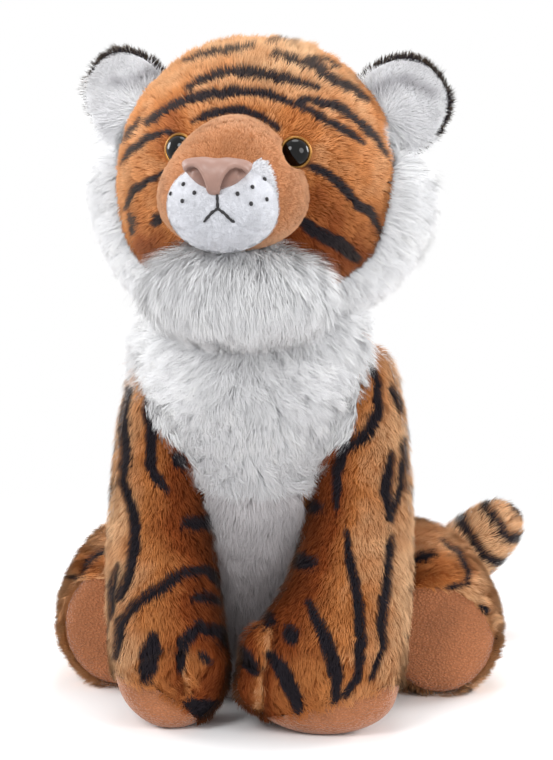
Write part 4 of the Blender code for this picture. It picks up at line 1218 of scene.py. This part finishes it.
def facing_form(name, shares, size, lift, ends, inset, taper_share=0.0):
    """A form of the face whose spine runs forward."""
    rows = [(0.0, ahead, 0.0, share, share) for ahead, share in shares]
    rings = spine_rings(rows, (0.0, -ends[0], lift), (0.0, ends[0] - ends[1], 0.0),
                        (size[0] / 2, size[1] / 2), inset, X_AXIS, taper_share)
    return rounded(name, rings, FINE, HEAD_FRAME)


def build_head():
    form = rounded("head_cloth", upright_rings(HEAD_SHARES, HEAD_BASE, HEAD_SIZE, BACKING), FINE, HEAD_FRAME)
    paint = with_white(orange_paint(head_stripes, head_rust), white_of_head)
    backing("head_cloth", form, "head", paint,
            ("head_skin", "head_stuffing", "muzzle_stuffing"))
    pile("head_pile", form, "head", "plush_orange", paint, head_flow, clear_of_face, 11, density=2.6,
         length=head_length, width=0.00028, lean=(34, 64), ruffle=0.34)
    out_and_down = lambda roots, normals: normals * np.array((1.0, 0.3, 0.6)) + np.array((0.0, 0.0, -0.7))
    beside = lambda roots, normals: (temple(roots) > 0.4) & (roots[:, 2] > HEAD_FUR_FOOT)
    white_fur("temple_pile", form, "head", PLAIN_WHITE, out_and_down, beside, 14, density=4.0, length=0.0105,
              lean=(40, 70))

    muzzle = facing_form("muzzle_cloth", MUZZLE_SHARES, MUZZLE_SIZE, MUZZLE_LIFT, MUZZLE_ENDS, 0.0005,
                         MUZZLE_TAPER_SHARE)
    press_by_eyes(muzzle)
    brown = with_white(even_paint(MUZZLE, MUZZLE_ROOT_SHADED, 0.012, 0.10), snout_corner, SNOUT, SNOUT_ROOT_SHADED)
    backing("muzzle_cloth", muzzle, "head", brown, ("muzzle_skin",))
    outside = lambda roots, normals: (in_head(roots) > 0.97) & ~near_eyes(roots, 1.15)
    pile("muzzle_pile", muzzle, "head", "plush_brown", brown, head_flow, outside, 12, density=6.0,
         length=0.0017, width=0.00022, lean=(25, 55), tuft=0.0022, gather=0.15, ruffle=0.4)

    snout = facing_form("snout_cloth", SNOUT_SHARES, SNOUT_SIZE, SNOUT_LIFT, SNOUT_ENDS, 0.0)
    points = read_points(snout)
    normals = read_normals(snout)
    folds = near_lines(photo_places(points), normals, LIP_FOLDS, 1.5, 3.0)
    write_points(snout, points - normals * (LIP_FOLD_DEPTH * folds)[:, None])
    white = even_paint(SNOUT, SNOUT_ROOT_SHADED, 0.01, 0.03)
    backing("snout_cloth", snout, "head", white, ("snout_skin",))
    front = lambda roots, normals: head_local(roots)[:, 1] < -0.07
    pile("snout_pile", snout, "head", "plush_white", white, head_flow, front, 13, density=5.0, length=0.0009,
         width=0.00018, lean=(30, 60), tuft=0.002, gather=0.1, ruffle=0.4)
    return snout


# Face: eyes, nose, mouth and whisker dots

def build_eyes():
    for side_name, side in SIDES:
        place = eye_frame(side)
        pupil = EYE_RADIUS * PUPIL_SHARE
        arc = [math.pi / 2 * step / 16 for step in range(1, 17)]
        dome = [(pupil * math.sin(angle), EYE_RIM + EYE_DOME * math.cos(angle)) for angle in arc]
        dome = [(0.0, EYE_RIM + EYE_DOME)] + dome + [(pupil, -EYE_SINK)]
        add_piece(f"{side_name}_eye_dome", turned("dome", dome, place), "head", EYE_LOOK,
                  (f"{side_name}_eye",))
        middle = EYE_RADIUS * 0.93
        thick = EYE_RADIUS * 0.11
        hoop = [(middle + thick * math.cos(angle), EYE_RIM + thick * 1.2 * math.sin(angle))
                for angle in (math.tau * step / 12 for step in range(13))]
        add_piece(f"{side_name}_eye_rim", turned("rim", hoop, place), "head", IRIS_LOOK)


def from_wing(places):
    """How far a place lies below the wing's line; negative above it."""
    line = np.array(WING_LINE)
    index, _, distance = nearest_step(places, line)
    step = (line[1:] - line[:-1])[index]
    rel = places - line[index]
    return np.sign(step[:, 0] * rel[:, 1] - step[:, 1] * rel[:, 0]) * distance


def build_nose():
    base = Vector((0.0, 0.0, -NOSE_SIZE[2] / 2))
    shares = [(up, wide, deep, -shift) for up, wide, deep, shift in NOSE_SHARES]
    mesh = rounded("nose_moulded", upright_rings(shares, base, NOSE_SIZE, 0.0), 5)
    points = read_points(mesh)
    across = np.abs(points[:, 0])
    front = smoothstep(0.001, -0.003, points[:, 1])
    # A soft dip down the middle, and under each wing a nostril that is deepest along its upper edge
    dip = NOSE_DIP * np.exp(-(across / 0.0032) ** 2) * smoothstep(-0.004, 0.006, points[:, 2]) * front
    under_wing = from_wing(np.stack([across, points[:, 2]], axis=1))
    nostril = smoothstep(-0.0003, 0.0007, under_wing) * smoothstep(0.0058, 0.0006, under_wing) * front
    wing = np.exp(-((under_wing + 0.0012) / 0.0010) ** 2) * front
    rise = WING_SWELLING * wing - dip - NOSTRIL_DEPTH * nostril
    write_points(mesh, points + read_normals(mesh) * rise[:, None])
    # The nostrils are darkened with painted shade
    set_tones(mesh, mix(NOSE, NOSTRIL_SHADE, 0.75 * nostril))
    mesh.transform(HEAD_FRAME @ Matrix.Translation(NOSE_PLACE) @ Matrix.Rotation(NOSE_TILT, 4, "X"))
    add_piece("nose_moulded", mesh, "head", NOSE_LOOK, ("nose",))


def thread(name, hits, radius=THREAD_RADIUS, sides=8):
    """A stitched thread through places with normals, with a slight bulge at each stitch."""
    rings = []
    last = len(hits) - 1
    for index, (point, normal) in enumerate(hits):
        ahead = (hits[min(index + 1, last)][0] - hits[max(index - 1, 0)][0]).normalized()
        side = ahead.cross(normal).normalized()
        out = side.cross(ahead)
        size = radius * (0.45 if index in (0, last) else 0.85 + 0.15 * math.cos(index * 1.3))
        rings.append([point + side * (size * math.cos(angle)) + out * (size * math.sin(angle) + 0.3 * radius)
                      for angle in (math.tau * step / sides for step in range(sides))])
    add_piece(name, woven(name, rings, capped=True), "head", THREAD_LOOK)


def along(line, gap):
    """Places along a drawn line, evenly spaced."""
    line = [Vector(point) for point in line]
    places = []
    for start, end in zip(line, line[1:]):
        steps = max(int((end - start).length / gap), 1)
        places += [start.lerp(end, step / steps) for step in range(steps)]
    return places + [line[-1]]


def build_stitches(snout):
    tree = ray_tree(snout)
    for name, line in MOUTH_LINES.items():
        hits = [on_surface(tree, place) for place in along(line, 1.2)]
        thread(name, [hit for hit in hits if hit[0] is not None])
    bm = bmesh.new()
    for place in WHISKER_DOTS:
        point, normal = on_surface(tree, place)
        if point is None:
            continue
        turn = normal.to_track_quat("Z", "Y").to_matrix().to_4x4()
        spread = Matrix.Diagonal((*WHISKER_DOT_SIZE, 1.0))
        seat = Matrix.Translation(point + normal * WHISKER_DOT_LIFT) @ turn @ spread
        bmesh.ops.create_uvsphere(bm, u_segments=16, v_segments=8, radius=1.0, matrix=seat)
    add_piece("whisker_dots", smooth_mesh("whisker_dots", bm), "head", THREAD_LOOK)


# Ruffs and neck

def build_ruff(name, shares, side, halves, flow, seed, **wanted):
    """A padded ruff and its long fur. Shares run out, ahead and up from the head's middle."""
    reach = (side * HEAD_SIZE[0] / 2, -HEAD_SIZE[1] / 2, HEAD_SIZE[2] / 2)
    rings = spine_rings(shares, (0.0, 0.0, 0.0), reach, halves, RUFF_INSET, Y_AXIS)
    form = rounded(f"{name}_cloth", rings, MEDIUM, HEAD_FRAME)
    white = even_paint(WHITE, WHITE_ROOT_SHADED, 0.015, 0.04)
    backing(f"{name}_cloth", form, "head", white, (f"{name}_ruff",))
    outside = lambda roots, normals: (in_head(roots) > 0.95) & (roots[:, 2] > 0.19)
    white_fur(f"{name}_pile", form, "head", white, flow, outside, seed, **wanted)


def cheek_flow(roots, normals):
    away = unit((roots - np.array(HEAD_CENTRE)) * np.array((1.0, 0.4, 1.0)))
    return 0.9 * away + np.array((0.0, 0.1, -0.45))


def build_ruffs():
    for side_name, side in SIDES:
        longest = 0.0120 if side > 0 else 0.0095
        lengths = lambda roots, normals: np.interp(roots[:, 2], [0.195, 0.225], [0.0065, longest])
        build_ruff(f"{side_name}_cheek", CHEEK_RUFF_SHARES, side, (RUFF_THICKNESS, RUFF_SPREAD), cheek_flow,
                   21 + (side < 0), density=5.0, length=lengths, width=0.00020, lean=(46, 76))
    down = lambda roots, normals: columns(len(roots), 0.0, -0.25, -1.0)
    lengths = lambda roots, normals: np.interp(normals[:, 2], [-0.6, 0.1], [0.0150, 0.0160])
    build_ruff("chin", CHIN_RUFF_SHARES, 1.0, (CHIN_RUFF_THICKNESS, CHIN_RUFF_SPREAD), down, 23, density=4.6,
               length=lengths, lean=(48, 78))


def build_neck():
    mesh = turned("neck_cloth", NECK_PROFILE, Matrix.Translation(NECK_CENTRE))
    ahead = lambda tips, normals: smoothstep(0.01, -0.01, tips[:, 1])
    paint = with_white(orange_paint(torso_stripes), ahead)
    backing("neck_cloth", mesh, "neck", paint, ("neck_stuffing",))
    down = lambda roots, normals: columns(len(roots), 0.0, 0.0, -1.0)
    level = lambda roots, normals: np.abs(normals[:, 2]) < 0.9
    pile("neck_pile", mesh, "neck", "plush_white", paint, down, level, 24, density=1.0, length=0.008)


# Ears

def ear_frame(side):
    out, back, up = EAR_PLACE_SHARES
    place = Matrix.Translation(Vector((side * out * HEAD_SIZE[0] / 2, back * HEAD_SIZE[1] / 2,
                                       up * HEAD_SIZE[2] / 2)))
    lean = Matrix.Rotation(side * EAR_LEAN, 4, "Y")
    return HEAD_FRAME @ place @ Matrix.Rotation(side * EAR_FACE_TURN, 4, "Z") @ lean


def ear_rings(front, back):
    rings = []
    for up, wide, thick in EAR_SHARES:
        near = []
        far = []
        for across in EAR_ROW_SHARES:
            x = across * wide * EAR_SIZE[0] / 2
            hollow = EAR_CUP * wide * (1 - across ** 2)
            edge = 1 - across ** 2 / 2
            near.append(Vector((x, hollow - front * thick * edge, up * EAR_SIZE[1])))
            far.append(Vector((x, hollow + back * thick * edge, up * EAR_SIZE[1])))
        rings.append(near + far[::-1])
    return rings


def build_ear(side_name, side):
    body = f"{side_name}_ear"
    place = ear_frame(side)
    tip_way = np.array(place.to_3x3() @ Z_AXIS)
    back_way = np.array(place.to_3x3() @ Y_AXIS)

    def local(points):
        return into(points, place)

    def rim_share(points):
        """0 in the middle of the ear, 1 at its edge."""
        inner = local(points)
        return np.hypot(inner[:, 0] / (EAR_SIZE[0] / 2), (inner[:, 2] - 0.012) / (EAR_SIZE[1] - 0.012))

    def back_stripes(tips, roots, normals):
        rim = smoothstep(0.76, 0.88, rim_share(roots) + 0.06 * noise(roots, 0.008, 421))
        if side < 0:
            rim = rim * smoothstep(-0.010, -0.004, local(roots)[:, 0])
        return np.maximum(rim, bands(roots, local(roots)[:, 2], 0.018, 0.3, 422))

    def white_edge(tips, normals):
        """The outer edge of the right ear is white below its black rim."""
        edge = smoothstep(0.84, 0.92, rim_share(tips)) * smoothstep(-0.004, -0.008, local(tips)[:, 0])
        return edge * (side < 0)

    def lining_paint(tips, roots, normals):
        places = photo_places(roots) + 2.0 * noise(roots, 0.005, 423)[:, None]
        # The folds are painted shade, and the roots are 4% darker with painted shade
        tip = mix(LINING, LINING_FOLD_SHADE, 0.8 * near_line(places, EAR_FOLD_SHADES[side_name], 7, 10.0))
        return tip, tip * 0.96

    def spread_flow(roots, normals):
        inner = local(roots)
        away = columns(len(roots), inner[:, 0], 0.0, inner[:, 2] - 0.008)
        return unit(away @ np.array(place.to_3x3()).T + 0.004 * tip_way)

    def outside(roots, normals):
        return (in_head(roots) > 0.95) & ((normals @ back_way > 0.1) | (rim_share(roots) > 0.95))

    def inside(roots, normals):
        return (rim_share(roots) < 0.97) & (in_head(roots) > 0.95) & (normals @ back_way < 0.3)

    paint = with_white(orange_paint(back_stripes), white_edge)
    back = rounded(f"{body}_back_cloth", ear_rings(0.0, EAR_BACK_THICKNESS - BACKING), MEDIUM, place)
    backing(f"{body}_back_cloth", back, body, paint, (f"{body}_back",))
    fringe = lambda roots, normals: np.where(rim_share(roots) > 0.8, 0.0050, 0.0038)
    pile(f"{body}_back_pile", back, body, "plush_orange", paint, spread_flow, outside, 31 + (side < 0),
         density=4.0, length=fringe, lean=(45, 70))
    lining = rounded(f"{body}_lining_cloth", ear_rings(EAR_LINING_THICKNESS, 0.0), MEDIUM, place)
    backing(f"{body}_lining_cloth", lining, body, lining_paint, (f"{body}_lining",))
    white_fur(f"{body}_lining_pile", lining, body, lining_paint, spread_flow, inside, 33 + (side < 0),
              density=8.0, length=0.0030, width=0.00020, lean=(35, 65), bends=1)
    low = lambda roots, normals: inside(roots, normals) & (local(roots)[:, 2] < 0.45 * EAR_SIZE[1])
    white_fur(f"{body}_tuft", lining, body, lining_paint, spread_flow, low, 35 + (side < 0), density=2.4,
              length=0.0085, width=0.00018, lean=(40, 78))


# Legs and tail

def above_edge(points, edge):
    """Which points lie above a line drawn from left to right on the photograph."""
    places = photo_places(points)
    edge = np.array(edge, float)
    limit = np.interp(places[:, 0], edge[:, 0], edge[:, 1])
    return places[:, 1] + 1.2 * noise(points, 0.004, 91) < limit


def toed(mesh, side_name):
    """A paw with lobes swelled out of it and creases drawn in."""
    tree = ray_tree(mesh)
    points = read_points(mesh)
    moved = points.copy()
    for place, reach, amount in TOES[side_name]:
        hit, normal = on_surface(tree, place)
        if hit is None:
            continue
        share = smoothstep(reach, 0.0, np.linalg.norm(points - np.array(hit), axis=1))
        away = unit(points - np.array(hit - normal * reach))
        moved = moved + away * (amount * share)[:, None]
    write_points(mesh, moved)
    normals = read_normals(mesh)
    depth = near_lines(photo_places(moved), normals, CREASES[side_name], 2.0, 5.0)
    write_points(mesh, moved - normals * (CREASE_DEPTH * depth)[:, None])
    return mesh


def dress_limb(name, form, bare, ends, lowest, paint, flow, seed, fill, **wanted):
    """Cloth and pile of a limb, less its bare part; ends say how far from the torso's middle each starts."""
    mesh = without(form, lambda points: (in_torso(points) < ends[0]) | bare(points))
    backing(f"{name}_cloth", mesh, name, paint, (f"{name}_skin", f"{name}_stuffing"))
    clear = lambda roots, normals: (in_torso(roots) > ends[1]) & (roots[:, 2] > lowest)
    pile(f"{name}_pile", mesh, name, "plush_orange", paint, flow, clear, seed, **wanted)


def suede_piece(name, form, part, body, node):
    """Suede on the part of a form that the test picks, a little proud of the cloth."""
    suede = without(form, lambda points: ~part(points))
    write_points(suede, read_points(suede) + SUEDE_RISE * read_normals(suede))
    add_piece(name, floor_flat(suede), body, SUEDE_LOOK, (node,))


def leg_flow(roots, normals):
    near_paw = smoothstep(0.055, 0.02, roots[:, 2])
    return columns(len(roots), 0.0, -0.25 - 0.75 * near_paw, -1 + 0.6 * near_paw)


def front_leg_length(roots, normals):
    return np.where(bib_cover(roots, normals), 0.0110, 0.0060)


def build_front_leg(side_name, side):
    body = f"{side_name}_front_leg"
    reach = FRONT_REACH[side_name]
    sole_up = np.array((0.0, math.sin(PAW_SOLE_TILT), math.cos(PAW_SOLE_TILT)))
    heel = np.array((0.0, -PAW_SOLE_HEEL, PAW_SOLE_RISE))

    def rust_and_shade_of(roots, normals):
        """Tan on the leg's outer side, partly painted rim light; rust towards the inner side, where the fur
        is rustier, and painted shade past 1 where the leg faces the belly.
        """
        middle = 0.45 if side > 0 else 0.68
        return np.interp(side * normals[:, 0], [-0.95, -0.45, 0.0, 0.5, 0.95], [1.9, 1.1, middle, 0.30, 0.0])

    def stripes(tips, roots, normals):
        down = roots[:, 2] * 0.9 + roots[:, 1] * 0.5
        behind = bands(roots, down, 0.026, 0.36, 431) * (1 - in_view(normals))
        return np.maximum(drawn(tips, normals, ARM_LINES[side_name], growth=1.3), behind)

    def on_sole(points):
        below = (points - heel) @ sole_up < 0
        drawn_part = ~above_edge(points, PAW_EDGES[side_name])
        return np.where(points[:, 1] < reach * -0.72, drawn_part, below) & (points[:, 2] < 0.05)

    paint = with_white(orange_paint(stripes, rust_and_shade_of), bib_cover)
    rings = spine_rings(FRONT_LEG_SHARES[side_name], (0.0, SHOULDER_Y, 0.0),
                        (side * FRONT_LEG_OUT, -(reach + SHOULDER_Y), FRONT_LEG_HEIGHT),
                        (FRONT_LEG_WIDTH / 2, FRONT_LEG_WIDTH / 2), BACKING)
    form = floor_flat(toed(floor_flat(rounded(f"{body}_form", rings, FINE)), side_name))
    dress_limb(body, form.copy(), on_sole, (0.76, 0.80), 0.0025, paint, leg_flow, 41 + (side < 0), 0.9,
               density=2.4, length=front_leg_length, width=0.00028)
    suede_piece(f"{side_name}_front_paw_suede", form, on_sole, body, f"{side_name}_front_paw_sole")


def hind_rust(roots, normals):
    places = photo_places(roots)
    rust = np.full(len(roots), 0.22)
    for width, line in HIND_RUST_LINES:
        rust = rust + 0.55 * near_line(places, line, width, 8.0) * in_view(normals, 0.2)
    return rust


def hind_flow(roots, normals):
    return columns(len(roots), 0.6 * np.sign(roots[:, 0]), -0.45, 0.35 - 8 * roots[:, 2])


def build_hind_leg(side_name, side):
    body = f"{side_name}_hind_leg"
    seam = -HIND_REACH[side_name] + SOLE_THICKNESS

    def stripes(tips, roots, normals):
        front = smoothstep(seam + 0.060, seam + 0.050, roots[:, 1]) * (roots[:, 2] > 0.012)
        pole = np.abs(normals @ HIND_BAND_WAY)
        behind = bands(roots, roots @ HIND_BAND_WAY, 0.022, 0.34, 441)
        behind = behind * (1 - front) * smoothstep(0.88, 0.70, pole)
        return np.maximum(drawn(tips, normals, HIND_LINES, 0.05, full_facing=0.4), behind)

    def on_sole(points):
        return (points[:, 1] < seam) & ~above_edge(points, HIND_EDGES[side_name])

    paint = orange_paint(stripes, hind_rust)
    rings = spine_rings(HIND_LEG_SHARES, (0.0, HIND_LEG_LENGTH - HIND_REACH[side_name], 0.0),
                        (side * HIND_FOOT_OUT[side_name], -HIND_LEG_LENGTH, HIND_LEG_SIZE[1]),
                        (HIND_LEG_SIZE[0] / 2, HIND_LEG_SIZE[1] / 2), BACKING)
    form = floor_flat(rounded(f"{body}_form", rings, FINE))
    dress_limb(body, form.copy(), on_sole, (0.86, 0.92), 0.002, paint, hind_flow, 51 + (side < 0), 0.9,
               density=2.6, length=0.0066, width=0.00028, lean=(26, 58))
    suede_piece(f"{side_name}_hind_foot_suede", form, on_sole, body, f"{side_name}_hind_foot_sole")


def build_tail():
    rows = [(out, back, up, size, size) for out, back, up, size in TAIL_SHARES]
    spine = np.array([Vector([share * length for share, length in zip(row, TAIL_REACH)]) for row in rows])
    steps = spine[1:] - spine[:-1]
    sizes = np.array([np.linalg.norm(step) for step in steps])
    starts = np.concatenate([[0.0], np.cumsum(np.linalg.norm(steps, axis=1))])

    def stripes(tips, roots, normals):
        index, share, _ = nearest_step(roots, spine)
        place = (starts[index] + share * sizes[index]) / starts[-1] + 0.012 * noise(roots, 0.010, 451)
        cover = np.zeros(len(roots))
        for at, wide in TAIL_RINGS:
            half = wide / starts[-1] / 2
            cover = np.maximum(cover, smoothstep(half + 0.012, half - 0.004, np.abs(place - at)))
        return cover

    def flow(roots, normals):
        index = nearest_step(roots, spine)[0]
        return steps[index] / sizes[index][:, None]

    rings = spine_rings(rows, (0.0, 0.0, 0.0), TAIL_REACH, (TAIL_RADIUS, TAIL_RADIUS), BACKING, Z_AXIS)
    form = floor_flat(rounded("tail_form", rings, FINE))
    none = lambda points: np.zeros(len(points), bool)
    dress_limb("tail", form, none, (0.86, 0.92), 0.002, orange_paint(stripes, even(0.12)), flow, 61, 0.85,
               density=2.5, length=0.0060)


# Stage, light and camera

def build_stage():
    """A pale floor that fades into the white world."""
    bm = bmesh.new()
    bmesh.ops.create_grid(bm, x_segments=1, y_segments=1, size=FLOOR_FADE[1])
    floor = linked("floor", smooth_mesh("floor", bm))
    nodes = Nodes("floor_look", 0.9, Base_Color=(0.93, 0.93, 0.94, 1.0))
    reach = nodes.add("ShaderNodeVectorMath", {0: nodes.places()}, "Value", operation="LENGTH")
    fade = nodes.add("ShaderNodeMapRange", {"Value": reach}, "Result", interpolation_type="SMOOTHSTEP",
                     From_Min=FLOOR_FADE[0], From_Max=FLOOR_FADE[1])
    clear = nodes.add("ShaderNodeBsdfTransparent", {}, "BSDF")
    feeds = {"Fac": fade, 1: nodes.shader.outputs["BSDF"], 2: clear}
    chosen = nodes.add("ShaderNodeMixShader", feeds, "Shader")
    nodes.tree.links.new(chosen, nodes.tree.nodes["Material Output"].inputs["Surface"])
    floor.data.materials.append(nodes.material)
    floor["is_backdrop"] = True


def area_light(name, place, size, power):
    light = bpy.data.lights.new(name, "AREA")
    light.shape = "DISK"
    light.size = size
    light.energy = power
    lamp = linked(name, light)
    lamp.location = place
    lamp.rotation_euler = (Vector(place) - CAMERA_AIM).to_track_quat("Z", "Y").to_euler()


def build_light():
    """A white world that lights the toy a little less than it shows, and soft lamps."""
    world = bpy.data.worlds.new("studio")
    bpy.context.scene.world = world
    world.use_nodes = True
    tree = world.node_tree
    background = tree.nodes["Background"]
    background.inputs["Color"].default_value = (1.0, 1.0, 1.0, 1.0)
    light_path = tree.nodes.new("ShaderNodeLightPath")
    seen = tree.nodes.new("ShaderNodeMath")
    seen.operation = "MAXIMUM"
    strength = tree.nodes.new("ShaderNodeMapRange")
    strength.inputs["To Min"].default_value = WORLD_LIGHT
    strength.inputs["To Max"].default_value = 1.0
    tree.links.new(light_path.outputs["Is Camera Ray"], seen.inputs[0])
    tree.links.new(light_path.outputs["Is Glossy Ray"], seen.inputs[1])
    tree.links.new(seen.outputs["Value"], strength.inputs["Value"])
    tree.links.new(strength.outputs["Result"], background.inputs["Strength"])
    for lamp in LAMPS:
        area_light(*lamp)


def build_camera():
    data = bpy.data.cameras.new("photo_camera")
    data.sensor_fit = "VERTICAL"
    data.sensor_height = SENSOR
    data.lens = FOCAL_PIXELS / IMAGE_HEIGHT * SENSOR
    camera = linked("photo_camera", data)
    camera.location = CAMERA_PLACE
    camera.rotation_euler = CAMERA_BACK.to_track_quat("Z", "Y").to_euler()
    bpy.context.scene.camera = camera
    bpy.context.scene.view_settings.view_transform = "Standard"


build_torso()
snout_mesh = build_head()
build_eyes()
build_nose()
build_stitches(snout_mesh)
build_ruffs()
build_neck()
for build_pair in (build_ear, build_front_leg, build_hind_leg):
    for name_and_side in SIDES:
        build_pair(*name_and_side)
build_tail()
for node_name in ("nose_washer", "left_eye_washer", "right_eye_washer"):
    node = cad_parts[node_name]
    node.data.materials.clear()
    node.data.materials.append(WASHER_LOOK)
build_stage()
build_light()
build_camera()

low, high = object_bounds()
{"cad": [list(cad_low), list(cad_high)], "visual": [list(low), list(high)]}
